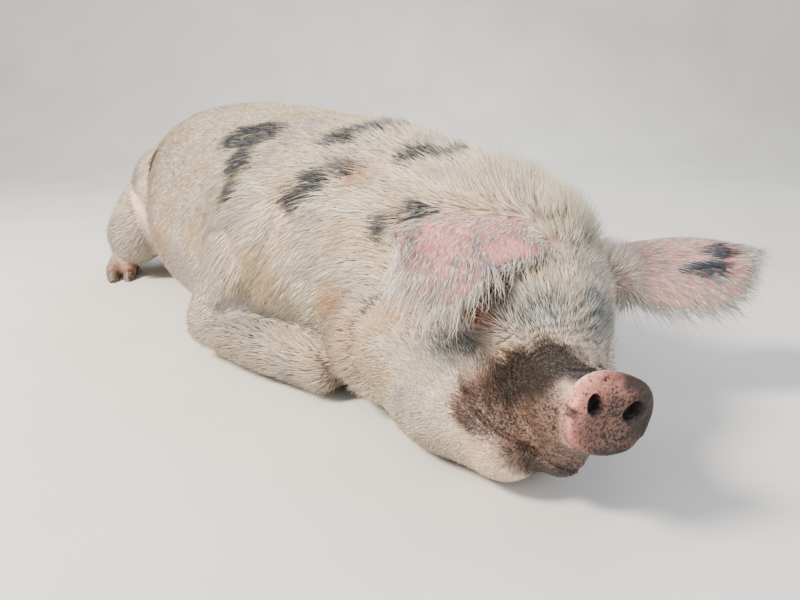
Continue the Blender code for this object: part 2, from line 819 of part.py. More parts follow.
# The fringe of an ear: places along its front edge, tip and back edge, as shares (u, v).
FRINGE = (
    (0.30, 0.97), (0.46, 0.97), (0.60, 0.97), (0.73, 0.97), (0.84, 0.95),
    (0.93, 0.75), (0.955, 0.40), (0.955, 0.05), (0.95, -0.35), (0.92, -0.72),
    (0.80, -0.95), (0.62, -0.97), (0.44, -0.97),
)


def fringe(name):
    """Long wavy locks round an ear's free edge, hanging a little."""
    ear = EARS[name]
    place = head_matrix()
    spine = place.to_3x3() @ Vector(ear["spine"]).normalized()
    dice = random.Random(name)
    locks = []
    for u, v in FRINGE:
        edge = place @ ear_point(ear, u, v)
        inside = place @ ear_point(ear, u - 0.03, v * 0.93)
        beyond_edge = (edge - place @ ear_point(ear, u, v * 0.8)).normalized()
        along = spine * 0.70 + beyond_edge * 0.60 + Vector((0, 0, -0.25))
        root = edge.lerp(inside, 0.5) - (edge - place @ ear_point(ear, u, v, True)) * 0.5
        size = 0.030 + 0.012 * dice.random()
        across = (edge - inside).cross(beyond_edge).cross(along)
        locks.append(lock(root, along, across, size, 0.020, (0, 0, -0.008)))
    return locks


# Tufts on the flesh: a row's places across and along, seen from straight above it.
CROWN_ROWS = ((-0.258, 5, 0.030), (-0.278, 6, 0.034), (-0.298, 6, 0.036), (-0.318, 6, 0.036), (-0.338, 5, 0.036), (-0.358, 5, 0.034))
CREST_ROWS = (0.450, 0.425, 0.400, 0.375, 0.350, 0.325, 0.300, 0.275)
JOWL_ROW = (-0.345, -0.320, -0.295, -0.270, -0.245, -0.220)


def tuft(surface, start, way, lean, lift, length, width, dice):
    """One lock where a ray meets the flesh, leaning a given way, lifted off it and clear of the floor."""
    point, normal, _, _ = surface.ray_cast(start, way)
    if point is None:
        return None
    lean = lean - normal * lean.dot(normal)
    along = lean.normalized() * math.cos(lift) + normal * math.sin(lift)
    along += Vector([dice.uniform(-0.22, 0.22) for _ in range(3)])
    size = length * dice.uniform(0.8, 1.1)
    bend = lean.normalized() * 0.12 * size
    fall = (0.5 * width + LOCK_CLEAR - point.z) / size
    along.z, bend.z = max(along.z, fall), max(bend.z, 0 if fall > -1 else bend.z)
    made = lock(point, along, normal.cross(along), size, width, tuple(bend))
    return made if min(vertex.co.z for vertex in made.verts) > LOCK_CLEAR else None


def crown_and_jowl(head):
    """Standing locks on the poll between the ears, and flat ones down each jowl."""
    surface = BVHTree.FromObject(head, bpy.context.evaluated_depsgraph_get())
    place = head_matrix()
    turn = place.to_3x3()
    dice = random.Random(3)
    locks = []
    for x, count, length in CROWN_ROWS:
        for k in range(count):
            y = 0.024 + 0.017 * (k - (count - 1) / 2)
            start = place @ Vector((x, y, 0.40))
            lean = turn @ Vector((-0.8, 0.5 * (y > 0.02), 0.2))
            locks.append(tuft(surface, start, turn @ Vector((0, 0, -1)), lean, 0.34, length, 0.026, dice))
    for side in (RIGHT, LEFT):
        for k, x in enumerate(JOWL_ROW):
            start = place @ Vector((x, side * 0.4, -0.050 - 0.006 * k))
            lean = turn @ Vector((-0.7, 0, -0.7))
            locks.append(tuft(surface, start, turn @ Vector((0, -side, 0)), lean, 0.20, 0.034, 0.022, dice))
    return locks


def crest(neck):
    """Locks along the top of the neck, leaning back."""
    surface = BVHTree.FromObject(neck, bpy.context.evaluated_depsgraph_get())
    dice = random.Random(5)
    locks = []
    for k, x in enumerate(CREST_ROWS):
        middle = 0.024 + 0.35 * (x - 0.3) if x > 0.3 else 0.02
        for step in (-1.5, -0.5, 0.5, 1.5) if k % 2 else (-2, -1, 0, 1, 2):
            start = Vector((x, middle + 0.017 * step, 0.7))
            lean = Vector((-1, 0.2 * step, 0))
            locks.append(tuft(surface, start, Vector((0, 0, -1)), lean, 0.20, 0.036, 0.024, dice))
    return locks


def switch():
    """The tail's brush of long bristles."""
    end, before = (Vector(TAIL_POINTS[k][:3]) for k in (-1, -2))
    way = (end - before).normalized()
    dice = random.Random(7)
    locks = []
    for k in range(6):
        angle = math.tau * k / 6
        out = Vector((math.cos(angle), math.sin(angle), 0))
        root = end.lerp(before, 0.05 + 0.12 * (k % 3)) + out * 0.001
        locks.append(lock(root, way + out * dice.uniform(0.25, 0.45), way.cross(out), 0.050, 0.008, (0, 0, -0.008)))
    return locks


def clear_scene():
    for obj in list(bpy.data.objects):
        bpy.data.objects.remove(obj)


def main():
    clear_scene()
    skin = whole_skin(0.0045)
    thin = skin.modifiers.new("thin", "DECIMATE")
    thin.ratio = 0.0132
    settle(skin)
    for vertex in skin.data.vertices:
        if vertex.co.z < GAP:
            vertex.co.z = 0
    nodes = parted_skin(skin)
    for name in LEG_CHAINS:
        for claw_name, claw in claws(name).items():
            cut_clear(nodes[name], claw)
            finish(claw, claw_name, "claw")
    for name, eye in eyes_and_lids(nodes["head"]).items():
        finish(eye, name, "eye")
    mouth_line(nodes["head"])
    nostrils(nodes["snout"])
    for name in EARS:
        ear = with_locks(joined(name, [ear_mass(name, 9, 8)]), fringe(name))
        cut_clear(ear, nodes["head"])
        cut_clear(ear, nodes["neck"])
        nodes[name] = keep_largest(ear)
    head, neck = nodes["head"], nodes["neck"]
    ears = [nodes[name] for name in EARS]
    with_locks(neck, crest(neck), [head, nodes["torso"]] + ears)
    with_locks(head, crown_and_jowl(head), [neck] + ears)
    tail = with_locks(joined("tail", [tail_mass(2, 9)]), switch())
    cut_clear(tail, nodes["torso"])
    nodes["tail"] = keep_largest(tail)
    for name, obj in nodes.items():
        finish(obj, name, "bare" if name in ("snout",) else "skin")


if __name__ == "__main__":
    main()
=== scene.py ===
"""A Gloucestershire Old Spots sow asleep on her belly: skin, bristly coat, eyes and claws over the
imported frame, with a plain floor, soft light and a camera."""

import math

import bmesh
import bpy
import numpy as np
from mathutils import Euler, Matrix, Vector
from mathutils.bvhtree import BVHTree
from mathutils.kdtree import KDTree


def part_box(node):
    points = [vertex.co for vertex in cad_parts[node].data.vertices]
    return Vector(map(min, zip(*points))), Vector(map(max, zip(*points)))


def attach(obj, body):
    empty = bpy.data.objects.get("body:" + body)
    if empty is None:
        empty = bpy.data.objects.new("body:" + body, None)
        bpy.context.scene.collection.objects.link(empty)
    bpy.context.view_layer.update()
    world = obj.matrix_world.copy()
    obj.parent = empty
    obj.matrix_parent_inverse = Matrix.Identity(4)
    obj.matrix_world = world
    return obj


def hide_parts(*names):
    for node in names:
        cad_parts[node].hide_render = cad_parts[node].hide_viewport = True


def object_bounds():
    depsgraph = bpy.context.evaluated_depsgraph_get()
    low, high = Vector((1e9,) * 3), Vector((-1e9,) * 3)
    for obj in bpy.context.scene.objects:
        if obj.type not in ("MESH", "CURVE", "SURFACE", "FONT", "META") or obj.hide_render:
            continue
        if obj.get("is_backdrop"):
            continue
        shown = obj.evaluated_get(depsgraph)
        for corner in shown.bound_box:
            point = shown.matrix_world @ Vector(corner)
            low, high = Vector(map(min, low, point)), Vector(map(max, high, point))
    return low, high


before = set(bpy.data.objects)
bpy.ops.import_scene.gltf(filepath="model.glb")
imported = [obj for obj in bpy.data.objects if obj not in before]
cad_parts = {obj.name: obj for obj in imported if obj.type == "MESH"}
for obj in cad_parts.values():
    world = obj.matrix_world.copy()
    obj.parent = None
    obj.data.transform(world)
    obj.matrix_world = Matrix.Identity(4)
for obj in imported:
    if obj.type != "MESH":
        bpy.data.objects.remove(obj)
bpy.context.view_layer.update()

# Flesh: the sow's body under her hide, loose and heavy where it spreads on the floor.
# It is built of rounded masses that are melted together in three steps, as the frame's is,
# and drawn in by the depth of her coat.
RIGHT, LEFT = -1, 1
SNOUT_POINT = Vector((0.826, -0.037, 0.141))
HEAD_TURN = (27, 6, 19)
DISC_BEND = 22
TRUNK_SECTIONS = (
    (-0.775, 0.000, 0.285, 0.150, 0.060),
    (-0.755, 0.000, 0.335, 0.080, 0.125),
    (-0.700, 0.000, 0.388, 0.030, 0.190),
    (-0.600, 0.000, 0.422, 0.000, 0.230),
    (-0.450, 0.000, 0.440, -0.010, 0.252),
    (-0.280, 0.000, 0.446, -0.012, 0.274),
    (-0.100, 0.000, 0.440, -0.012, 0.268),
    (0.050, 0.000, 0.430, 0.000, 0.250),
    (0.180, 0.005, 0.420, 0.030, 0.232),
    (0.300, 0.025, 0.408, 0.045, 0.205),
    (0.410, 0.062, 0.380, 0.020, 0.178),
    (0.485, 0.102, 0.354, 0.010, 0.152),
    (0.540, 0.126, 0.308, 0.030, 0.116),
    (0.580, 0.130, 0.240, 0.080, 0.075),
)
SECTION_POINTS, SECTION_STEPS, WIDEST_LEVEL = 64, 6, 0.42
BACK_SQUARENESS, BELLY_SQUARENESS = 2.15, 2.7
COAT_DEPTH, FACE_DEPTH = 0.0060, 0.0025
LEG_CHAINS = {
    "foreleg_right": (
        (0.17, -0.175, 0.190, 0.095), (0.100, -0.226, 0.075, 0.068), (0.225, -0.192, 0.056, 0.050),
        (0.350, -0.140, 0.044, 0.040), (0.245, -0.108, 0.033, 0.028),
    ),
    "foreleg_left": (
        (0.17, 0.175, 0.190, 0.095), (0.110, 0.228, 0.072, 0.066), (0.225, 0.244, 0.054, 0.048),
        (0.335, 0.266, 0.042, 0.038), (0.410, 0.284, 0.034, 0.029),
    ),
    "hindleg_right": (
        (-0.62, -0.170, 0.190, 0.105), (-0.560, -0.255, 0.118, 0.080), (-0.735, -0.255, 0.052, 0.044),
        (-0.620, -0.300, 0.038, 0.031),
    ),
    "hindleg_left": (
        (-0.62, 0.170, 0.190, 0.105), (-0.555, 0.255, 0.118, 0.080), (-0.725, 0.260, 0.052, 0.044),
        (-0.605, 0.306, 0.038, 0.031),
    ),
}
FEET = {
    "foreleg_right": (178, False),
    "foreleg_left": (10, True),
    "hindleg_right": (-14, True),
    "hindleg_left": (12, True),
}
TOE_REACH, TOE_SPREAD, TOE_RADIUS, CLAW_TOP = 0.040, 0.0185, 0.021, 0.036
TAIL_POINTS = (
    (-0.735, 0.000, 0.300, 0.021),
    (-0.775, 0.002, 0.300, 0.019),
    (-0.812, 0.008, 0.283, 0.016),
    (-0.826, 0.022, 0.248, 0.013),
    (-0.818, 0.036, 0.214, 0.011),
    (-0.806, 0.030, 0.184, 0.009),
    (-0.812, 0.010, 0.160, 0.007),
    (-0.828, -0.004, 0.136, 0.004),
)


def ball(centre, radii, turn=(0, 0, 0)):
    mesh = bmesh.new()
    bmesh.ops.create_icosphere(mesh, subdivisions=5, radius=1)
    pose = Euler([math.radians(a) for a in turn]).to_matrix().to_4x4()
    place = Matrix.Translation(centre) @ pose @ Matrix.Diagonal((*radii, 1))
    bmesh.ops.transform(mesh, matrix=place, verts=mesh.verts)
    return mesh


def limb(start, start_radius, end, end_radius):
    """A closed tapering capsule between two points."""
    mesh = bmesh.new()
    for point, radius in ((start, start_radius), (end, end_radius)):
        bmesh.ops.create_icosphere(mesh, subdivisions=3, radius=radius, matrix=Matrix.Translation(point))
    return hull(mesh)


def hull(mesh):
    result = bmesh.ops.convex_hull(mesh, input=mesh.verts)
    inside = [e for e in result["geom_interior"] if isinstance(e, bmesh.types.BMVert)]
    bmesh.ops.delete(mesh, geom=inside, context="VERTS")
    return mesh


def both(make, point, *rest):
    """The same mass on her right and on her left."""
    return [make((point[0], side * point[1], *point[2:]), *rest) for side in (RIGHT, LEFT)]


def moved(masses, matrix):
    for mass in masses:
        bmesh.ops.transform(mass, matrix=matrix, verts=mass.verts)
    return masses


def between(values, place):
    """A smooth curve through rows of values, read at a place from 0 to the last row's index."""
    index = min(int(place), len(values) - 2)
    t = place - index
    rows = [values[max(0, min(len(values) - 1, index + k))] for k in (-1, 0, 1, 2)]
    weights = (
        -0.5 * t + t**2 - 0.5 * t**3,
        1 - 2.5 * t**2 + 1.5 * t**3,
        0.5 * t + 2 * t**2 - 1.5 * t**3,
        -0.5 * t**2 + 0.5 * t**3,
    )
    return [sum(w * row[i] for w, row in zip(weights, rows)) for i in range(len(values[0]))]


def loft(rings):
    """A closed mesh through rings of as many points each."""
    mesh = bmesh.new()
    rings = [[mesh.verts.new(point) for point in ring] for ring in rings]
    for near, far in zip(rings, rings[1:]):
        for k in range(len(near)):
            after = (k + 1) % len(near)
            mesh.faces.new((near[k], near[after], far[after], far[k]))
    mesh.faces.new(rings[0])
    mesh.faces.new(rings[-1])
    bmesh.ops.recalc_face_normals(mesh, faces=mesh.faces)
    return mesh


def trunk_ring(x, y, top, bottom, half_width):
    """One upright ring of the trunk, rounder over the back and squarer where the belly spreads."""
    widest = bottom + WIDEST_LEVEL * (top - bottom)
    ring = []
    for k in range(SECTION_POINTS):
        angle = math.tau * k / SECTION_POINTS
        across, up = math.cos(angle), math.sin(angle)
        power = 2 / (BACK_SQUARENESS if up > 0 else BELLY_SQUARENESS)
        height = (top - widest) if up > 0 else (widest - bottom)
        out = half_width * math.copysign(abs(across) ** power, across)
        ring.append((x, y + out, widest + height * math.copysign(abs(up) ** power, up)))
    return ring


def tube(path, radii, sides):
    """A closed tube of changing radius through a path."""
    first = (path[1] - path[0]).normalized()
    normal = min((Vector(axis) for axis in Matrix.Identity(3)), key=lambda axis: abs(axis.dot(first)))
    rings = []
    for k, (point, radius) in enumerate(zip(path, radii)):
        tangent = (path[min(k + 1, len(path) - 1)] - path[max(k - 1, 0)]).normalized()
        normal = (normal - tangent * normal.dot(tangent)).normalized()
        side = tangent.cross(normal)
        turns = [math.tau * j / sides for j in range(sides)]
        rings.append([point + radius * (math.cos(a) * normal + math.sin(a) * side) for a in turns])
    return loft(rings)


def head_place():
    """From the straight head, snout disc at its origin and poll behind at -X, to its place."""
    yaw, pitch, roll = (math.radians(a) for a in HEAD_TURN)
    turn = Matrix.Rotation(-yaw, 4, "Z") @ Matrix.Rotation(-pitch, 4, "Y") @ Matrix.Rotation(-roll, 4, "X")
    return Matrix.Translation(SNOUT_POINT) @ turn


HEAD = head_place()
DISC = HEAD @ Matrix.Rotation(math.radians(DISC_BEND), 4, "Z")


def trunk_masses():
    count = (len(TRUNK_SECTIONS) - 1) * SECTION_STEPS
    masses = [
        loft([trunk_ring(*between(TRUNK_SECTIONS, k / SECTION_STEPS)) for k in range(count + 1)]),
        ball((0.420, -0.010, 0.100), (0.170, 0.150, 0.110)),
        ball((0.555, -0.018, 0.068), (0.150, 0.122, 0.086), (0, 0, -27)),
        ball((0.545, 0.125, 0.085), (0.120, 0.080, 0.092), (0, 0, -27)),
        ball((0.662, -0.045, 0.058), (0.095, 0.062, 0.062), (0, 0, -27)),
    ]
    masses += both(ball, (0.14, 0.155, 0.200), (0.17, 0.100, 0.140))
    return masses + both(ball, (-0.585, 0.150, 0.185), (0.170, 0.118, 0.165))


def head_masses():
    """The straight head: cranium, bridge, muzzle, jaw, brows, cheeks, throat and jowls."""
    masses = [
        ball((-0.312, -0.003, 0.050), (0.108, 0.101, 0.098)),
        ball((-0.245, -0.006, 0.056), (0.095, 0.066, 0.058)),
        limb((-0.205, -0.006, 0.033), 0.054, (-0.122, -0.022, 0.000), 0.045),
        limb((-0.122, -0.022, 0.000), 0.045, (-0.048, -0.028, -0.012), 0.045),
        limb((-0.165, -0.013, -0.020), 0.064, (-0.042, -0.018, -0.015), 0.049),
        limb((-0.240, 0, -0.080), 0.070, (-0.064, -0.008, -0.074), 0.030),
        ball((-0.380, 0, -0.020), (0.130, 0.125, 0.130)),
    ]
    for side, width in ((RIGHT, 1), (LEFT, 0.60)):
        masses += [
            ball((-0.236, side * 0.052 * width, 0.064), (0.056, 0.034, 0.030)),
            ball((-0.242, side * 0.070 * width, 0.016), (0.070, 0.034, 0.042)),
            ball((-0.265, side * 0.070 * width, -0.042), (0.100, 0.056, 0.082)),
        ]
    return moved(masses + both(ball, (-0.345, 0.070, -0.055), (0.105, 0.080, 0.090)), HEAD)


def disc_mass():
    mesh = bmesh.new()
    for x, shrink in ((-0.030, 0.90), (-0.013, 0.99), (-0.002, 0.95)):
        for k in range(48):
            across, up = math.cos(math.radians(7.5 * k)), math.sin(math.radians(7.5 * k))
            across, up = (math.copysign(abs(v) ** 0.82, v) for v in (across, up))
            mesh.verts.new((x, 0.003 + 0.059 * shrink * across, 0.048 * shrink * up))
    return moved([hull(mesh)], DISC)[0]


def foot_place(name):
    """A foot's place: its fetlock, X towards the toes and Z towards the front of the foot."""
    x, y, z, _ = LEG_CHAINS[name][-1]
    heading, sole_down = FEET[name]
    place = Matrix.Translation((x, y, z)) @ Matrix.Rotation(math.radians(heading), 4, "Z")
    return place if sole_down else place @ Matrix.Rotation(math.radians(180), 4, "X")


def toe_masses():
    masses = []
    for name, rows in LEG_CHAINS.items():
        height = rows[-1][2]
        level = -height if FEET[name][1] else height - CLAW_TOP
        for side in (RIGHT, LEFT):
            toe = (TOE_REACH, side * TOE_SPREAD, level + TOE_RADIUS)
            dew = (0.002, side * 0.028, level + 0.014)
            pair = [limb((0, 0, 0), rows[-1][3], toe, TOE_RADIUS), ball(dew, (0.015, 0.011, 0.012))]
            masses += moved(pair, foot_place(name))
    return masses


def joined(name, masses):
    whole = bmesh.new()
    for mass in masses:
        scrap = bpy.data.meshes.new("scrap")
        mass.to_mesh(scrap)
        mass.free()
        whole.from_mesh(scrap)
        bpy.data.meshes.remove(scrap)
    mesh = bpy.data.meshes.new(name)
    whole.to_mesh(mesh)
    whole.free()
    obj = bpy.data.objects.new(name, mesh)
    bpy.context.scene.collection.objects.link(obj)
    return obj


def settle(obj):
    """Applies an object's modifiers."""
    bpy.context.view_layer.update()
    evaluated = obj.evaluated_get(bpy.context.evaluated_depsgraph_get())
    mesh = bpy.data.meshes.new_from_object(evaluated)
    obj.modifiers.clear()
    old, obj.data = obj.data, mesh
    bpy.data.meshes.remove(old)
    return obj


def fused(obj, voxel, rounds):
    remesh = obj.modifiers.new("fuse", "REMESH")
    remesh.mode = "VOXEL"
    remesh.voxel_size = voxel
    smooth = obj.modifiers.new("smooth", "SMOOTH")
    smooth.factor = 0.5
    smooth.iterations = rounds
    return settle(obj)


def melted(masses, voxel, rounds):
    """Masses melted together coarsely, as one mass of the next, finer step."""
    obj = fused(joined("core", masses), voxel, rounds)
    core = bmesh.new()
    core.from_mesh(obj.data)
    mesh = obj.data
    bpy.data.objects.remove(obj)
    bpy.data.meshes.remove(mesh)
    return core


def points_of(obj):
    flat = np.empty(len(obj.data.vertices) * 3)
    obj.data.vertices.foreach_get("co", flat)
    return flat.reshape(-1, 3)


def put_points(obj, points):
    obj.data.vertices.foreach_set("co", np.ascontiguousarray(points, np.float32).ravel())
    obj.data.update()


def normals_of(obj):
    flat = np.empty(len(obj.data.vertices) * 3)
    obj.data.vertex_normals.foreach_get("vector", flat)
    return flat.reshape(-1, 3)


def ease(low, high, value):
    """0 below low and 1 above high, smooth between them."""
    t = np.clip((value - low) / (high - low), 0, 1)
    return t * t * (3 - 2 * t)


def seen_from(points, place):
    """Points in a frame's own coordinates."""
    turn = np.array(place.inverted())
    return points @ turn[:3, :3].T + turn[:3, 3]


def head_share(points):
    """1 on the head and 0 on the trunk, across the poll and throat."""
    return ease(-0.05, 0.06, (points[:, 0] - 0.470) * 0.956 - (points[:, 1] - 0.090) * 0.292)


def near_chain(points, rows):
    """How far points are off a chain of capsules, and the way along its nearest length."""
    best, way, along = np.full(len(points), 9.0), np.zeros_like(points), np.zeros(len(points))
    for k, (a, b) in enumerate(zip(rows, rows[1:])):
        start, line = np.array(a[:3]), np.array(b[:3]) - np.array(a[:3])
        share = np.clip((points - start) @ line / (line @ line), 0, 1)
        off = np.linalg.norm(points - start - share[:, None] * line, axis=1) - a[3] - share * (b[3] - a[3])
        closer = off < best
        best[closer], way[closer] = off[closer], line / np.linalg.norm(line)
        along[closer] = (k + share)[closer] / (len(rows) - 1)
    return best, way, along


def feet_share(points):
    """1 on the feet and 0 above the fetlocks."""
    share = np.zeros(len(points))
    for name in LEG_CHAINS:
        x, y, z = seen_from(points, foot_place(name)).T
        off = np.hypot(np.hypot(np.maximum(np.maximum(-x, x - 0.07), 0), y), z)
        share = np.maximum(share, 1 - ease(0.045, 0.075, off))
    return share


flesh = fused(joined("flesh", [
    melted(trunk_masses(), 0.014, 22),
    melted(head_masses(), 0.009, 16),
    melted([limb(a[:3], a[3], b[:3], b[3]) for c in LEG_CHAINS.values() for a, b in zip(c, c[1:])], 0.009, 8),
    disc_mass(),
] + toe_masses()), 0.0036, 19)
points, normals = points_of(flesh), normals_of(flesh)
points[:, 2] = np.maximum(points[:, 2], 0)
depth = COAT_DEPTH - (COAT_DEPTH - FACE_DEPTH) * head_share(points)
depth = depth * (1 - 0.8 * feet_share(points))
drawn_in = normals * depth[:, None]
drawn_in[:, 2] *= ease(0.002, 0.020, points[:, 2])
put_points(flesh, points - drawn_in)

# Ears, tail and lids: lop ears as broad thin leaves of gristle, rolled at the root and hanging over
# the eyes; a tail with one loose curl; lids as arcs of soft skin round each eyeball.
# They are fused with the flesh into one hide, so that no seam shows.
EARS = {
    "right": dict(
        root=(-0.294, -0.040, 0.160), spine=(0.46, -0.87, -0.22), back=(0.34, 0.10, 0.93),
        length=0.232, half_width=0.104, droop=0.034, roll=(56, 36), hang=0.034,
        front=((0.66,), (0.56,), (0.50,), (0.52,), (0.70,), (0.82,), (0.76,)), comb=0.5,
    ),
    "left": dict(
        root=(-0.335, 0.070, 0.152), spine=(0.03, 0.91, 0.42), back=(0.46, -0.28, 0.84),
        length=0.225, half_width=0.102, droop=0.026, roll=(96, 60), hang=0.0,
        front=((1.0,), (1.0,)), comb=0.0,
    ),
}
EAR_THICKNESS = (0.0085, 0.0050)
EAR_SUNK, EAR_WIDEST = 0.030, 0.50
EYE_PLACE, EYE_FORWARD, EYE_RADIUS = (-0.220, 0.027), 0.75, 0.0125
LID_ROUND = 0.0143
LIDS = ((20, 0.0052), (-22, 0.0042))


def ear_point(ear, u, v, inner=False):
    """A point of an ear: u from root to tip, v across from its back edge (-1) to its front edge (1)."""
    spine = Vector(ear["spine"]).normalized()
    back = Vector(ear["back"])
    back = (back - spine * back.dot(spine)).normalized()
    front = back.cross(spine) if ear["root"][1] < 0 else spine.cross(back)
    share = max(u, 0)
    if v > 0:
        v *= between(ear["front"], min(share, 1) * (len(ear["front"]) - 1))[0]
    if share < EAR_WIDEST:
        width = 0.74 + 0.26 * math.sin(0.5 * math.pi * share / EAR_WIDEST)
    else:
        width = max(1 - ((share - EAR_WIDEST) / (1 - EAR_WIDEST)) ** 2.3, 0) ** 0.62
    width *= ear["half_width"]
    half_angle = math.radians(ear["roll"][0] + (ear["roll"][1] - ear["roll"][0]) * min(share * 1.7, 1) ** 0.7)
    radius = max(width, 0.004) / half_angle
    thick = EAR_THICKNESS[0] + (EAR_THICKNESS[1] - EAR_THICKNESS[0]) * max(share, abs(v) ** 2)
    ripple = 0.0035 * share * math.sin(5.0 * v + 2.0) * abs(v) + 0.0020 * math.sin(9 * v) * share
    middle = Vector(ear["root"]) + spine * (ear["length"] * u) - back * (ear["droop"] * share**2 + ripple)
    middle.z -= ear["hang"] * min(share * 1.2, 1) ** 2 * min(max(v + 0.3, 0), 1)
    angle = half_angle * v
    reach = max(radius - thick, 0.001) if inner else radius - 0.001
    return middle - back * radius + reach * (back * math.cos(angle) + front * math.sin(angle))


def ear_mass(ear, rows=30, columns=26):
    shares = [-EAR_SUNK / ear["length"]] + [math.sin(0.5 * math.pi * k / rows) for k in range(rows)] + [0.995]
    rings = []
    for u in shares:
        across = [2 * j / columns - 1 for j in range(columns + 1)]
        ring = [ear_point(ear, u, v) for v in across] + [ear_point(ear, u, v, True) for v in across[::-1]]
        rings.append(ring)
    return moved([loft(rings)], HEAD)[0]


def eye_place(side, surface):
    """A packed eye's place under the skin: X to its front corner, Y outwards and Z up."""
    low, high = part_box("eye_right" if side == RIGHT else "eye_left")
    start = HEAD @ Vector((EYE_PLACE[0], side * 0.30, EYE_PLACE[1]))
    normal = surface.ray_cast(start, (HEAD.to_3x3() @ Vector((0, -side, 0))).normalized())[1]
    outward = (normal + EYE_FORWARD * (HEAD.to_3x3() @ Vector((1, 0, 0.2)))).normalized()
    front = HEAD.to_3x3() @ Vector((0.97, 0, 0.16))
    front = (front - outward * front.dot(outward)).normalized()
    turn = Matrix((front, outward, front.cross(outward) * -side)).transposed().to_4x4()
    return Matrix.Translation((low + high) / 2) @ turn


def lid_mass(place, lift, thick):
    """One lid as an arc over the eyeball, thickest at its middle."""
    path, radii = [], []
    for k in range(17):
        along = math.radians(-80 + 10 * k)
        up = math.radians(lift) * math.cos(along) + 0.06 * math.sin(along)
        path.append(place @ Vector((
            LID_ROUND * 1.3 * math.sin(along),
            LID_ROUND * math.cos(along) * math.cos(up),
            LID_ROUND * math.sin(up),
        )))
        radii.append(thick * (0.42 + 0.58 * math.cos(along)))
    return tube(path, radii, 12)


surface = BVHTree.FromObject(flesh, bpy.context.evaluated_depsgraph_get())
eye_places = {side: eye_place(side, surface) for side in (RIGHT, LEFT)}
own = bmesh.new()
own.from_mesh(flesh.data)
tail_rows = [between(TAIL_POINTS, k / 4) for k in range(4 * (len(TAIL_POINTS) - 1) + 1)]
masses = [own, tube([Vector(row[:3]) for row in tail_rows], [row[3] for row in tail_rows], 14)]
masses += [ear_mass(ear) for ear in EARS.values()]
masses += [lid_mass(eye_places[side], *lid) for side in (RIGHT, LEFT) for lid in LIDS]
bpy.data.objects.remove(flesh)
hide = fused(joined("hide", masses), 0.0026, 3)

# Folds and openings of the hide: the mouth line from corner to corner under the snout disc,
# nostrils, the disc's raised rim, wrinkles over the bridge and round the eyes, creases behind
# the jowl and at the elbow. Each pushes the hide in or out along its own normal.
MOUTH_PIVOT, MOUTH_ANGLE, MOUTH_HEIGHTS = (-0.125, -0.012), 84, (-0.066, -0.082)
NOSTRIL_SPREAD, NOSTRIL_HEIGHT, NOSTRIL_SLOPE = 0.0275, 0.009, 0.35


def crease(points, path, width):
    """1 on a path and 0 a given width from it."""
    near = np.full(len(points), 9.0)
    path = np.array([list(p) for p in path])
    close = np.where(np.linalg.norm(points - path.mean(0), axis=1) < 0.3)[0]
    for a, b in zip(path, path[1:]):
        line = b - a
        share = np.clip((points[close] - a) @ line / (line @ line + 1e-12), 0, 1)
        off = np.linalg.norm(points[close] - a - share[:, None] * line, axis=1)
        near[close] = np.minimum(near[close], off)
    return 1 - ease(0, width, near)


def mouth_path(surface):
    path = []
    for k in range(49):
        bend = k / 24 - 1
        height = MOUTH_HEIGHTS[1] + (MOUTH_HEIGHTS[0] - MOUTH_HEIGHTS[1]) * abs(bend) ** 1.5
        height += 0.0016 * math.sin(9 * bend)
        angle = math.radians(MOUTH_ANGLE) * bend
        way = HEAD.to_3x3() @ Vector((math.cos(angle), math.sin(angle), 0))
        point = surface.ray_cast(HEAD @ Vector((*MOUTH_PIVOT, height)) + way * 0.2, -way)[0]
        if point is not None:
            path.append(point)
    return path


def on_ears(points):
    """How far points are off the nearer ear, up to 9."""
    tree = KDTree(2 * 41 * 25)
    for ear in EARS.values():
        for u in range(41):
            for v in range(-12, 13):
                tree.insert(HEAD @ ear_point(ear, u / 40, v / 12), 0)
    tree.balance()
    off = np.full(len(points), 9.0)
    for k in np.where(head_share(points) > 0)[0]:
        off[k] = tree.find(points[k])[2]
    return off


points, normals = points_of(hide), normals_of(hide)
surface = BVHTree.FromObject(hide, bpy.context.evaluated_depsgraph_get())
mouth = mouth_path(surface)
push = -0.0050 * crease(points, mouth, 0.0052)
above = [p + Vector((0, 0, 0.0075)) for p in mouth]
below = [p - Vector((0, 0, 0.0075)) for p in mouth]
push += 0.0014 * crease(points, above, 0.007) + 0.0012 * crease(points, below, 0.007)

x, y, z = seen_from(points, DISC).T
out = (np.abs((y - 0.003) / 0.059) ** 2.4 + np.abs(z / 0.048) ** 2.4) ** (1 / 2.4)
on_disc = ease(-0.012, -0.004, x) * (1 - ease(1.08, 1.15, out))
push += on_disc * (0.0018 * np.exp(-((out - 0.90) / 0.10) ** 2) - 0.0022 * (1 - ease(0.2, 0.85, out)))
push += on_disc * 0.0004 * np.sin(900 * y + 3 * np.sin(260 * z)) * np.sin(700 * z + 2)
for side in (RIGHT, LEFT):
    across = y - side * NOSTRIL_SPREAD - side * NOSTRIL_SLOPE * (z - NOSTRIL_HEIGHT)
    hole = np.hypot(across / 0.0105, (z - NOSTRIL_HEIGHT) / 0.0115)
    push += on_disc * (0.0012 * np.exp(-((hole - 1.35) / 0.25) ** 2) - 0.0150 * (1 - ease(0.60, 1.05, hole)))
notch = np.hypot((y + 0.050) / 0.006, (z + 0.004) / 0.006)
push -= 0.0035 * ease(-0.03, -0.01, x) * (1 - ease(0.3, 1.0, notch))
push -= 0.0028 * np.exp(-((x + 0.034) / 0.0055) ** 2) * (1 - ease(1.1, 1.5, out))

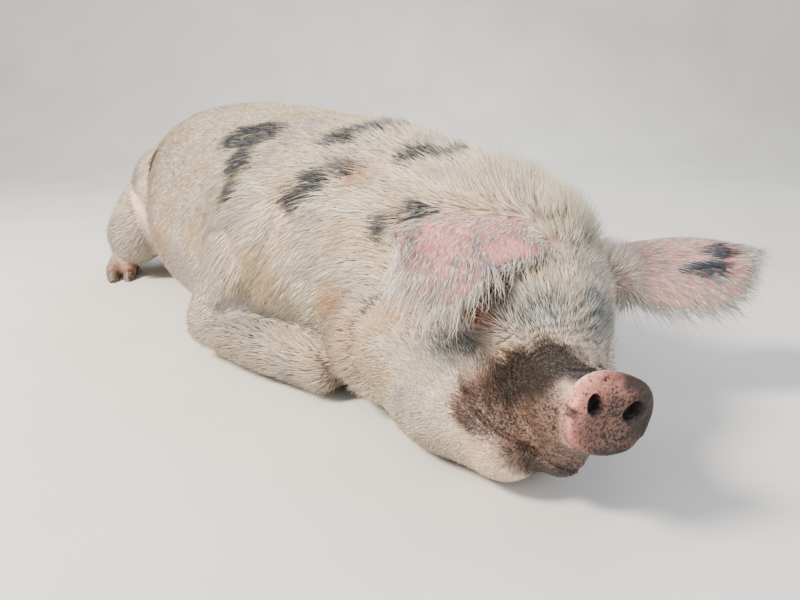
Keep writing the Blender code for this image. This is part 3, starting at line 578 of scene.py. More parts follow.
x, y, z = seen_from(points, HEAD).T
on_bridge = ease(-0.185, -0.150, x) * (1 - ease(-0.048, -0.034, x)) * ease(-0.010, 0.020, z)
waves = np.sin(2 * np.pi * (x + 0.010 * np.sin(38 * y) + 0.006 * np.sin(90 * y + 1)) / 0.0135)
push += on_bridge * 0.0013 * waves * (1 - ease(0.5, 1.0, np.abs(y + 0.02) / 0.06))
on_cheek = ease(-0.205, -0.150, x) * (1 - ease(-0.085, -0.060, x))
on_cheek = on_cheek * ease(-0.075, -0.05, z) * (1 - ease(-0.005, 0.02, z))
push += on_cheek * 0.0010 * np.sin(2 * np.pi * (z + 0.45 * x + 0.006 * np.sin(50 * x)) / 0.014)
brow = ease(-0.27, -0.24, x) * (1 - ease(-0.20, -0.175, x)) * ease(0.055, 0.080, z)
push += brow * 0.0012 * np.sin(2 * np.pi * (x + 0.25 * np.abs(y)) / 0.016)
for side in (RIGHT, LEFT):
    ex, ey, ez = seen_from(points, eye_places[side]).T
    ring = np.hypot(ex / 1.35, ez)
    near_eye = (np.abs(ey) < 0.03) * ease(0.0165, 0.020, ring) * (1 - ease(0.030, 0.046, ring))
    push += near_eye * 0.0019 * np.sin(2 * np.pi * (ring + 0.0015 * np.sin(3 * np.arctan2(ez, ex))) / 0.0074)

FOLDS = (
    ((0.500, -0.130, 0.255), (0.470, -0.150, 0.180), (0.470, -0.165, 0.110), (0.500, -0.170, 0.055)),
    ((0.560, 0.215, 0.230), (0.520, 0.235, 0.150), (0.520, 0.225, 0.080)),
    ((0.300, -0.190, 0.290), (0.280, -0.225, 0.200), (0.240, -0.245, 0.130), (0.200, -0.265, 0.105)),
    ((0.300, 0.230, 0.290), (0.290, 0.255, 0.200), (0.260, 0.270, 0.130)),
    ((-0.420, -0.280, 0.090), (-0.440, -0.285, 0.160), (-0.430, -0.275, 0.240)),
    ((-0.420, 0.280, 0.090), (-0.440, 0.285, 0.160), (-0.430, 0.275, 0.240)),
    ((-0.690, -0.200, 0.180), (-0.740, -0.120, 0.130), (-0.750, -0.060, 0.120)),
    ((-0.690, 0.200, 0.180), (-0.740, 0.120, 0.130), (-0.750, 0.060, 0.120)),
)
for fold in FOLDS:
    path = [Vector(between(fold, k / 6)) for k in range(6 * (len(fold) - 1) + 1)]
    path = [surface.find_nearest(p)[0] for p in path]
    push -= 0.0055 * crease(points, path, 0.030)
points += normals * push[:, None]
x, y, z = seen_from(points, HEAD).T
slim = 0.016 * ease(-0.005, 0.045, y) * ease(-0.290, -0.200, x)
slim = slim * (1 - ease(-0.085, -0.050, x)) * ease(-0.06, 0.0, z)
slim *= ease(0.026, 0.050, np.linalg.norm(points - np.array(eye_places[LEFT].translation), axis=1))
slim *= 1 - ease(0.002, 0.010, on_ears(points))
points -= np.array(HEAD.to_3x3() @ Vector((0, 1, 0))) * slim[:, None]

for side in (RIGHT, LEFT):
    centre = np.array(eye_places[side].translation)
    off = points - centre
    far = np.linalg.norm(off, axis=1)
    inside = far < EYE_RADIUS + 0.0005
    points[inside] = centre + off[inside] / far[inside, None] * (EYE_RADIUS - 0.0030)
points[:, 2] = np.where(points[:, 2] < 0.0006, 0, points[:, 2])
put_points(hide, points)

# Hide: the finished skin, thinned on the body where the coat covers it. It carries the lie, length
# and lift of the coat at every place, and an unwrap of its own shape.
ON_BODY, ON_HEAD = 60000, 128000


def put_values(obj, name, values):
    """Stores values or ways on an object's points, or on its faces where there are as many."""
    domain = "FACE" if len(values) == len(obj.data.polygons) else "POINT"
    kind, field = ("FLOAT_VECTOR", "vector") if np.ndim(values) == 2 else ("FLOAT", "value")
    attribute = obj.data.attributes.new(name, kind, domain)
    attribute.data.foreach_set(field, np.ascontiguousarray(values, np.float32).ravel())


def near_ears(points):
    """For each ear: how far points are off it, their u and v, its inner side, and the way its hair runs."""
    found = {}
    for name, ear in EARS.items():
        grid = [(u / 40, v / 12) for u in range(41) for v in range(-12, 13)]
        samples = [(*place, inner) for place in grid for inner in (False, True)]
        places = np.array([HEAD @ ear_point(ear, *s) for s in samples])
        ahead = np.array([HEAD @ ear_point(ear, s[0] + 0.02, s[1], s[2]) for s in samples]) - places
        edge = np.array([HEAD @ ear_point(ear, s[0], s[1] + 0.02, s[2]) for s in samples]) - places
        ahead /= np.linalg.norm(ahead, axis=1)[:, None]
        edge /= np.linalg.norm(edge, axis=1)[:, None] + 1e-9
        tree = KDTree(len(samples))
        for k, place in enumerate(places):
            tree.insert(place, k)
        tree.balance()
        off, index = np.full(len(points), 9.0), np.zeros(len(points), int)
        low, high = places.min(0) - 0.02, places.max(0) + 0.02
        for k in np.where(((points > low) & (points < high)).all(1))[0]:
            _, index[k], off[k] = tree.find(points[k])
        u, v, inner = np.array(samples, float)[index].T
        way = ahead[index] * (1 - 0.6 * ear["comb"]) + edge[index] * (v * 0.75 + ear["comb"])[:, None]
        found[name] = off, u, v, inner, way + np.array((0, 0, -0.30))
    return found


def thinned(obj, chosen, target):
    """Collapses edges among the chosen points until about a target of triangles is left there."""
    group = obj.vertex_groups.new(name="thin")
    group.add(np.where(chosen)[0].tolist(), 1.0, "REPLACE")
    corners = np.empty(len(obj.data.loops), np.int32)
    obj.data.loops.foreach_get("vertex_index", corners)
    sides = np.empty(len(obj.data.polygons), np.int32)
    obj.data.polygons.foreach_get("loop_total", sides)
    inside = np.add.reduceat(chosen[corners], np.cumsum(sides) - sides) == sides
    whole, among = (sides - 2).sum(), (sides - 2)[inside].sum()
    thin = obj.modifiers.new("thin", "DECIMATE")
    thin.ratio = (whole - among + target) / whole
    thin.vertex_group = group.name
    settle(obj)
    obj.vertex_groups.clear()


def fine_share(points):
    """1 where the hide stays fine: face, ears, feet and tail."""
    x, _, z = seen_from(points, HEAD).T
    near_tail = near_chain(points, TAIL_POINTS)[0]
    ears = np.minimum(*[found[0] for found in near_ears(points).values()])
    return (x > -0.26) & (z > -0.13) | (feet_share(points) > 0.1) | (near_tail < 0.006) | (ears < 0.008)


hide.modifiers.new("triangles", "TRIANGULATE")
settle(hide)
thinned(hide, ~fine_share(points_of(hide)), ON_BODY)
thinned(hide, fine_share(points_of(hide)), ON_HEAD)
hide.data.shade_smooth()

points, normals = points_of(hide), normals_of(hide)
x, y, z = points.T
hx, hy, hz = seen_from(points, HEAD).T
head = head_share(points)
stations, centres, _, _, half_widths = zip(*TRUNK_SECTIONS)
middle, half = np.interp(x, stations, centres), np.interp(x, stations, half_widths)
flank = (y - middle) / (half + 0.05)
lie = np.stack([-np.ones(len(points)), 0.55 * flank, -0.62 * np.abs(flank) ** 1.5], 1)
shoulder = np.exp(-(((x - 0.22) / 0.16) ** 2)) * ease(0.45, 0.9, np.abs(flank))
shoulder = shoulder * (1 - ease(0.26, 0.36, z)) * ease(0.10, 0.16, z)
lie[:, 2] -= 0.9 * shoulder
rump = ease(-0.62, -0.74, x)
lie[:, 2] -= 1.2 * rump
length = 0.042 + 0.006 * np.sin(9 * x + 4 * y)
lift = np.full(len(points), 0.075)
spread = np.full(len(points), 1.0)

turn = np.array(HEAD.to_3x3())
apart = 1.6 * hy * ease(0.0, 0.03, hz) + 1.2 * hy * ease(-0.20, -0.05, hx)
ways = np.stack([-np.ones(len(points)), apart, -0.30 * (1 - ease(-0.01, 0.05, hz))], 1)
fan = np.exp(-(((hx + 0.15) / 0.06) ** 2)) * ease(0.01, 0.04, hz)
ways[:, 2] += 0.5 * fan
head_lie = ways @ turn.T
FACE_LENGTHS = (
    (0.00, 0.004), (0.05, 0.007), (0.11, 0.010), (0.15, 0.022), (0.20, 0.031), (0.28, 0.036), (0.36, 0.042),
)
FACE_SPREADS = ((0.00, 0.1), (0.03, 1.2), (0.10, 1.8), (0.14, 3.2), (0.19, 3.0), (0.30, 1.9))
head_length = np.interp(-hx, *zip(*FACE_LENGTHS))
head_length *= 1 - 0.25 * (1 - ease(-0.06, 0.02, hz)) * (1 - ease(0.2, 0.3, -hx))
lie = lie * (1 - head)[:, None] + head_lie * head[:, None]
length = length * (1 - head) + head_length * head
lift = lift + head * (0.08 + 0.30 * fan) * (1 - 0.75 * ease(0.015, 0.045, hy))
spread = spread * (1 - head) + head * np.interp(-hx, *zip(*FACE_SPREADS))

crown = np.exp(-(((hx + 0.315) / 0.050) ** 2) - ((hy - 0.020) / 0.055) ** 2) * ease(0.08, 0.13, hz)
swirl = np.stack([hx + 0.300, hy - 0.012, np.full(len(points), 0.03)], 1)
swirl = swirl + np.stack([-swirl[:, 1], swirl[:, 0], 0 * hx], 1) * 0.9
lie = lie * (1 - crown)[:, None] + (swirl @ turn.T) / 0.05 * crown[:, None]
length += 0.012 * crown
lift += 0.45 * crown
spread += 1.0 * crown
crest = np.exp(-(((y - middle - 0.01) / 0.05) ** 2)) * ease(0.16, 0.32, x) * (1 - crown) * ease(0.25, 0.30, z)
length += 0.006 * crest
lift += 0.16 * crest

piece = np.where(x < -0.42, 0, np.where(x < -0.05, 2, 4)) + (y > 0)
piece = np.where((piece > 3) & (head > 0.02), 6, piece)
piece = np.where(head > 0.5, np.where(hy > 0.0, 10, 7), piece)
for name, rows in LEG_CHAINS.items():
    off, way, along = near_chain(points, rows)
    on_leg = (1 - ease(0.004, 0.030, off)) * ease(0.25, 0.50, along)
    if name == "foreleg_right":
        way = np.array((-1, -0.2, 0.1))
        lift = lift + 0.15 * on_leg
    lie = lie * (1 - on_leg)[:, None] + (way + np.array((0, 0, -0.25))) * on_leg[:, None]
    on_leg = on_leg * (0.35 if name == "foreleg_right" else 1)
    length = length * (1 - on_leg) + (0.030 - 0.014 * along) * on_leg
    spread += 0.8 * on_leg
    if name.endswith("left"):
        piece = np.where(on_leg > 0.5, 11 if name == "foreleg_left" else 12, piece)
feet = feet_share(points)
length = length * (1 - 0.4 * feet)
near_tail, tail_way, tail_along = near_chain(points, TAIL_POINTS)
on_tail = (1 - ease(0.002, 0.010, near_tail)) * ease(0.05, 0.25, tail_along)
lie = lie * (1 - on_tail)[:, None] + tail_way * on_tail[:, None]
length = length * (1 - on_tail) + (0.018 + 0.030 * ease(0.8, 1.0, tail_along)) * on_tail
spread += 3 * on_tail
fringe = np.zeros(len(points))
ear_share, ear_inner = np.zeros(len(points)), np.zeros(len(points))
for name, (off, u, v, inner, way) in near_ears(points).items():
    on_ear = (1 - ease(0.003, 0.008, off)) * ease(0.03, 0.12, u)
    lie = lie * (1 - on_ear)[:, None] + way * on_ear[:, None]
    outward = np.maximum(np.abs(v), u)
    edge = ease(0.72, 0.95, outward)
    ear_length = 0.025 + 0.010 * edge - 0.008 * inner
    length = length * (1 - on_ear) + ear_length * on_ear
    lift = lift * (1 - on_ear) + 0.15 * on_ear
    shaggy = ease(0.0, -0.6, v) * (1 - ease(0.45, 0.7, u)) * (1 - inner) * (name == "right")
    ear_spread = 0.60 - 0.45 * inner + 0.3 * edge + 1.3 * shaggy + 0.9 * (1 - ease(0.1, 0.3, u))
    spread = spread * (1 - on_ear) + ear_spread * on_ear
    fringe = np.maximum(fringe, on_ear * np.where(v > 0, 1.0, 0.6) * ease(0.84, 0.97, outward))
    piece = np.where((on_ear > 0.5) & (piece > 3) & (piece < 11), 8 if name == "right" else 9, piece)
    ear_share, ear_inner = np.maximum(ear_share, on_ear), np.maximum(ear_inner, on_ear * inner)

bare = np.zeros(len(points))
dx, dy, dz = seen_from(points, DISC).T
bare = np.maximum(bare, ease(-0.024, -0.014, dx))
bare = np.maximum(bare, crease(points, mouth, 0.006))
lid = np.zeros(len(points))
for side in (RIGHT, LEFT):
    ring = np.linalg.norm(points - np.array(eye_places[side].translation), axis=1)
    bare = np.maximum(bare, 1 - ease(0.016, 0.022, ring))
    lid = np.maximum(lid, 1 - ease(0.026, 0.044, ring))
# Painted shade: the hollows round the eyes under the hanging ears take the dark fold colour of the lids, for
# the shadow the ears cast there.
ear_shaded_hollow = 1 - ease(0.80, 1.10, np.hypot((hx + 0.247) / 0.049, (hz - 0.052) / 0.050))
lid = np.maximum(lid, ear_shaded_hollow * ease(0.040, 0.055, np.abs(hy)) * head * (1 - ear_share))
spread *= 1 - 0.80 * lid
# Painted shade: the nostril pits and the mouth line are coloured near-black for the shade inside them; the
# small notch in the disc's rim is painted dark too.
over = dz - NOSTRIL_HEIGHT
hole = np.hypot((np.abs(dy) - NOSTRIL_SPREAD - NOSTRIL_SLOPE * over) / 0.0110, over / 0.0120)
dark = (1 - ease(0.85, 1.12, hole)) * ease(-0.030, -0.022, dx) * ease(-0.0030, -0.0075, dx)
dark = np.maximum(dark, 0.65 * crease(points, mouth, 0.0045))
notch = np.hypot((dy + 0.050) / 0.007, (dz + 0.004) / 0.007)
dark = np.maximum(dark, 0.9 * ease(-0.03, -0.01, dx) * (1 - ease(0.5, 1.0, notch)))
dark *= head
bare = np.maximum(bare, 1 - ease(0.003, 0.010, z))
for claw in [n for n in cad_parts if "claw" in n]:
    low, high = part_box(claw)
    off = np.linalg.norm(np.maximum(np.maximum(np.array(low) - points, points - np.array(high)), 0), axis=1)
    bare = np.maximum(bare, 1 - ease(0.002, 0.006, off))
spread *= (1 - bare) * (1 - 0.5 * ease(-0.5, -0.9, normals[:, 2]) * (1 - head))
lie = lie - normals * (lie * normals).sum(1)[:, None]
lie /= np.linalg.norm(lie, axis=1)[:, None] + 1e-9
for _ in range(3):
    edges = np.empty(len(hide.data.edges) * 2, np.int32)
    hide.data.edges.foreach_get("vertices", edges)
    a, b = edges.reshape(-1, 2).T
    total = lie.copy()
    for k in range(3):
        total[:, k] += np.bincount(a, lie[b, k], len(points)) + np.bincount(b, lie[a, k], len(points))
    lie = total - normals * (total * normals).sum(1)[:, None]
    lie /= np.linalg.norm(lie, axis=1)[:, None] + 1e-9
chin = head * ease(-0.02, -0.05, hz) * ease(-0.26, -0.20, hx) * (1 - bare)
brush = on_tail * ease(0.80, 0.95, tail_along)
strands = (np.maximum(fringe, 0.55 * crown) + 0.22 * crest + 0.03 * chin + brush) * (1 - bare)
corners = np.empty(len(hide.data.loops), np.int32)
hide.data.loops.foreach_get("vertex_index", corners)
for name, values in dict(
    lie=lie, reach=length, lift=lift, spread=spread, strands=strands, bare=bare, lid=lid, dark=dark,
    ear=ear_share, ear_inner=ear_inner, piece=piece[corners[::3]],
).items():
    put_values(hide, name, values)

# Unwrap: each part of the hide is laid out flat from its own six sides, and the sheets are packed.
SHEET_GAP, ROW_WIDTH = 0.008, 2.6


def unwrap(obj, parts):
    mesh = obj.data
    count = len(mesh.polygons)
    normals, corners = np.empty(count * 3), np.empty(len(mesh.loops), np.int32)
    mesh.polygons.foreach_get("normal", normals)
    mesh.loops.foreach_get("vertex_index", corners)
    normals = normals.reshape(-1, 3)
    axis = np.abs(normals).argmax(1)
    front = normals[np.arange(count), axis] > 0
    own = parts[corners[::3]].astype(int)
    sheet = own * 6 + axis * 2 + front
    places = points_of(obj)[corners].reshape(-1, 3, 3)
    others = [((axis + k) % 3)[:, None, None] for k in (1, 2)]
    flat = np.stack([np.take_along_axis(places, other, 2)[:, :, 0] for other in others], 2)
    rows = []
    for k in np.unique(sheet):
        low, high = flat[sheet == k].reshape(-1, 2).min(0), flat[sheet == k].reshape(-1, 2).max(0)
        rows.append((k, low, high - low + SHEET_GAP))
    rows.sort(key=lambda row: -row[2][1])
    u, v, tall, put = 0.0, 0.0, 0.0, {}
    for k, low, size in rows:
        if u + size[0] > ROW_WIDTH:
            u, v, tall = 0.0, v + tall, 0.0
        put[k] = np.array((u, v)) - low + SHEET_GAP / 2
        u, tall = u + size[0], max(tall, size[1])
    for k, shift in put.items():
        flat[sheet == k] += shift
    flat /= max(ROW_WIDTH, v + tall)
    layer = mesh.uv_layers.new(name="OFBake")
    layer.data.foreach_set("uv", flat.astype(np.float32).ravel())


unwrap(hide, piece)

# Markings: blue-black spots with ragged edges on cream, tan stains, pink where the coat is thin,
# and mud on the bridge, the disc, the knees and the feet. Skin and bristles share this one group,
# which is read at a place on the hide.
SPOTS = (
    ((0.098, -0.130, 0.392), (0.074, 0.044, 0.036), 12),
    ((0.132, -0.176, 0.352), (0.046, 0.032, 0.032), 0),
    ((0.040, -0.150, 0.385), (0.045, 0.040, 0.030), 0),
    ((0.168, -0.205, 0.316), (0.024, 0.024, 0.026), 0),
    ((0.302, -0.160, 0.308), (0.022, 0.030, 0.026), 0),
    ((0.326, -0.130, 0.334), (0.028, 0.032, 0.024), 0),
    ((0.354, -0.096, 0.350), (0.024, 0.030, 0.016), 0),
    ((0.298, -0.062, 0.392), (0.022, 0.042, 0.026), 0),
    ((0.302, 0.012, 0.405), (0.022, 0.052, 0.020), 0),
    ((0.410, -0.008, 0.368), (0.020, 0.038, 0.020), 0),
    ((0.434, 0.044, 0.366), (0.017, 0.034, 0.018), 0),
    # The next two rows put the dark spot colour in a band along the back edge of the near ear, where it meets
    # the neck.
    ((0.446, -0.074, 0.272), (0.018, 0.024, 0.030), 10),
    ((0.468, -0.040, 0.296), (0.016, 0.030, 0.022), 0),
    ((0.660, 0.322, 0.210), (0.020, 0.046, 0.011), -14),
    ((0.640, 0.372, 0.222), (0.022, 0.030, 0.014), -14),
    ((-0.300, 0.225, 0.300), (0.070, 0.060, 0.050), 10),
    ((-0.640, 0.120, 0.350), (0.040, 0.050, 0.045), 0),
    ((0.130, 0.215, 0.250), (0.045, 0.050, 0.040), -20),
    ((-0.480, -0.215, 0.315), (0.045, 0.040, 0.035), 15),
)
STAINS = (
    ((0.375, -0.077, 0.340), (0.040, 0.030, 0.018), 30),
    ((0.397, -0.134, 0.168), (0.035, 0.035, 0.032), 0),
    ((0.440, -0.120, 0.110), (0.050, 0.040, 0.050), 0),
    ((-0.200, -0.260, 0.150), (0.120, 0.040, 0.050), 0),
    ((0.515, -0.108, 0.170), (0.036, 0.036, 0.030), 0),
    ((0.300, -0.215, 0.180), (0.030, 0.040, 0.040), 0),
)
# Painted shade: lavender-grey low on her right side, at the elbow, the belly and the rump, where the body
# curves under towards the floor.
LOW_SIDE_SHADES = (
    ((0.230, -0.225, 0.110), (0.090, 0.060, 0.060), 0),
    ((-0.100, -0.270, 0.120), (0.160, 0.050, 0.060), 0),
    ((-0.560, -0.260, 0.110), (0.120, 0.060, 0.060), 0),
)


def linear(colour):
    """A colour from its sRGB hex value."""
    parts = [int(colour[k:k + 2], 16) / 255 for k in (0, 2, 4)]
    return (*[c / 12.92 if c <= 0.04045 else ((c + 0.055) / 1.055) ** 2.4 for c in parts], 1)


def add(tree, kind, links=None, **settings):
    """One node with its settings, and its sockets' values or links by name or place."""
    node = tree.nodes.new(kind)
    for name, value in settings.items():
        setattr(node, name, value)
    for socket, value in (links or {}).items():
        if isinstance(value, bpy.types.NodeSocket):
            tree.links.new(value, node.inputs[socket])
        else:
            node.inputs[socket].default_value = value
    return node


def ramp(tree, value, stops):
    node = add(tree, "ShaderNodeValToRGB", {"Fac": value})
    while len(node.color_ramp.elements) < len(stops):
        node.color_ramp.elements.new(0.5)
    for element, (place, colour) in zip(node.color_ramp.elements, stops):
        element.position, element.color = place, linear(colour)
    return node.outputs["Color"]


def patches(tree, place, rows, low=1.18, high=0.82):
    """1 inside any of some ellipsoids, each a centre, half sizes and turn about the vertical."""
    found = None
    for centre, sizes, turn in rows:
        moved_to = add(tree, "ShaderNodeMapping", {
            "Vector": place, "Location": centre, "Scale": sizes,
            "Rotation": turn if isinstance(turn, tuple) else (0, 0, math.radians(turn)),
        }, vector_type="TEXTURE")
        off = add(tree, "ShaderNodeVectorMath", {0: moved_to.outputs[0]}, operation="LENGTH")
        share = add(tree, "ShaderNodeMapRange", {
            "Value": off.outputs["Value"], "From Min": low, "From Max": high,
        }, interpolation_type="SMOOTHSTEP").outputs[0]
        found = share if found is None else math_node(tree, "MAXIMUM", found, share)
    return found


def seated(rows, place=HEAD):
    """Ellipsoids of the straight head or the disc, at their place on her."""
    return [(tuple(place @ Vector(centre)), sizes, tuple(HEAD.to_euler())) for centre, sizes in rows]


def math_node(tree, operation, a, b=0.0, clamp=False):
    return add(tree, "ShaderNodeMath", {0: a, 1: b}, operation=operation, use_clamp=clamp).outputs[0]


BRIDGE = (
    ((-0.084, -0.048, 0.008), (0.053, 0.046, 0.040)),
    ((-0.122, -0.074, -0.014), (0.042, 0.030, 0.034)),
    ((-0.070, 0.026, 0.008), (0.050, 0.040, 0.036)),
    ((-0.040, -0.020, 0.030), (0.026, 0.046, 0.022)),
)
CHIN = (((-0.050, -0.018, -0.094), (0.050, 0.050, 0.024)),)
MUZZLE = (
    ((-0.080, -0.066, -0.036), (0.090, 0.056, 0.062)),
    ((-0.112, -0.095, -0.062), (0.040, 0.036, 0.030)),
    ((-0.060, 0.000, -0.070), (0.075, 0.080, 0.045)),
    ((-0.085, 0.050, -0.030), (0.080, 0.045, 0.060)),
)
# White-grey hair on the brow; the last row is painted shade, a grey patch on the cheek under the near ear for
# the ear's shadow.
BROW_AND_CHEEK_SHADE = (
    ((-0.168, -0.045, 0.050), (0.034, 0.060, 0.034)),
    ((-0.172, 0.020, 0.070), (0.034, 0.040, 0.034)),
    ((-0.195, -0.130, -0.020), (0.050, 0.045, 0.034)),
)
ROOTED = (
    ((0.0, 0.048, 0.018), (0.030, 0.030, 0.040)),
    ((0.0, 0.024, 0.044), (0.030, 0.036, 0.018)),
    ((0.0, 0.030, -0.044), (0.030, 0.040, 0.012)),
)
BLUSHES = (
    ((-0.300, -0.120, -0.060), (0.085, 0.060, 0.080)),
    ((-0.160, -0.080, -0.050), (0.060, 0.050, 0.045)),
    ((-0.240, 0.080, 0.000), (0.070, 0.050, 0.060)),
    ((-0.215, -0.090, 0.010), (0.040, 0.030, 0.030)),
    ((-0.130, -0.110, -0.066), (0.022, 0.022, 0.016)),
    (tuple(ear_point(EARS["left"], 0.16, 0.1)), (0.050, 0.050, 0.040)),
)
MARKS = ("Spot", "Stain", "LowSideShade", "Mud", "GrimeAndDiscShade", "Speck", "FrostAndCheekShade", "Dirt", "Blush")


def markings():
    tree = bpy.data.node_groups.new("markings", "ShaderNodeTree")
    tree.interface.new_socket("Place", in_out="INPUT", socket_type="NodeSocketVector")
    for name in MARKS:
        tree.interface.new_socket(name, in_out="OUTPUT", socket_type="NodeSocketFloat")
    place = tree.nodes.new("NodeGroupInput").outputs["Place"]
    ragged = add(tree, "ShaderNodeTexNoise", {"Vector": place, "Scale": 42, "Detail": 3, "Roughness": 0.6})
    shift = add(tree, "ShaderNodeVectorMath", {
        0: ragged.outputs["Color"], 1: (0.5, 0.5, 0.5)}, operation="SUBTRACT")
    shift = add(tree, "ShaderNodeVectorMath", {0: shift.outputs[0], "Scale": 0.030}, operation="SCALE")
    torn = add(tree, "ShaderNodeVectorMath", {0: place, 1: shift.outputs[0]}, operation="ADD").outputs[0]
    broad = add(tree, "ShaderNodeTexNoise", {"Vector": place, "Scale": 7, "Detail": 2}).outputs["Fac"]
    fleck = add(tree, "ShaderNodeTexNoise", {"Vector": place, "Scale": 90, "Detail": 2}).outputs["Fac"]
    spot = math_node(tree, "MULTIPLY", patches(tree, torn, SPOTS), add(tree, "ShaderNodeMapRange", {
        "Value": fleck, "From Min": 0.28, "From Max": 0.46, "To Min": 0.45}).outputs[0])
    stain = patches(tree, torn, STAINS, 1.5, 0.2)
    grey = patches(tree, torn, LOW_SIDE_SHADES, 1.5, 0.3)
    mud = patches(tree, torn, seated(BRIDGE), 1.28, 0.72)
    for rows, low, high, amount in ((seated(CHIN), 1.4, 0.5, 0.75), (seated(ROOTED, DISC), 1.35, 0.6, 0.95)):
        more = math_node(tree, "MULTIPLY", patches(tree, torn, rows, low, high), amount)
        mud = math_node(tree, "MAXIMUM", mud, more)
    upright = tuple(DISC.to_euler())
    on_disc = [(tuple(DISC @ Vector((-0.006, 0, 0))), (0.034, 0.062, 0.056), upright)]
    on_disc = patches(tree, place, on_disc, 1.1, 0.9)
    # Mud and painted shade on the snout disc: all of it but the upper rim on her right, where the light
    # falls, takes the muzzle's grime colour.
    shade = [(tuple(DISC @ Vector((0, 0.014, -0.014))), (0.040, 0.058, 0.048), upright)]
    grime = patches(tree, torn, seated(MUZZLE), 1.30, 0.75)
    grime = math_node(tree, "MAXIMUM", grime, patches(tree, torn, shade, 1.25, 0.60))
    speck = add(tree, "ShaderNodeTexNoise", {
        "Vector": place, "Scale": 290, "Detail": 3, "Roughness": 0.65}).outputs["Fac"]
    thick = add(tree, "ShaderNodeMapRange", {
        "Value": broad, "From Min": 0.35, "From Max": 0.65, "To Min": 0.56, "To Max": 0.44}).outputs[0]
    thick = math_node(tree, "SUBTRACT", thick, math_node(tree, "MULTIPLY", grime, 0.085))
    speck = math_node(tree, "MULTIPLY", math_node(tree, "SUBTRACT", speck, thick), 9.0, clamp=True)
    speck = math_node(tree, "MULTIPLY", speck, math_node(tree, "MAXIMUM", grime, on_disc))
    frost_and_cheek_shade = patches(tree, torn, seated(BROW_AND_CHEEK_SHADE), 1.5, 0.4)
    height = add(tree, "ShaderNodeSeparateXYZ", {0: torn}).outputs["Z"]
    low = add(tree, "ShaderNodeMapRange", {"Value": height, "From Min": 0.120, "From Max": 0.010}).outputs[0]
    dirt = math_node(tree, "MULTIPLY", low, add(tree, "ShaderNodeMapRange", {
        "Value": broad, "From Min": 0.40, "From Max": 0.60}).outputs[0])
    blush = patches(tree, torn, seated(BLUSHES), 1.5, 0.3)
    out = tree.nodes.new("NodeGroupOutput")
    for name, socket in zip(MARKS, (spot, stain, grey, mud, grime, speck, frost_and_cheek_shade, dirt, blush)):
        tree.links.new(socket, out.inputs[name])
    return tree


MARKINGS = markings()


def layered(tree, colour, layers):
    """Colours laid over one another, each with its share and how much of that share it takes."""
    for share, amount, other in layers:
        if amount < 1:
            share = math_node(tree, "MULTIPLY", share, amount)
        other = linear(other) if isinstance(other, str) else other
        colour = add(tree, "ShaderNodeMix", {0: share, 6: colour, 7: other}, data_type="RGBA").outputs[2]
    return colour


def blank(name):
    """A new material, its tree and its shader."""
    made = bpy.data.materials.new(name)
    made.use_nodes = True
    return made, made.node_tree, made.node_tree.nodes["Principled BSDF"]


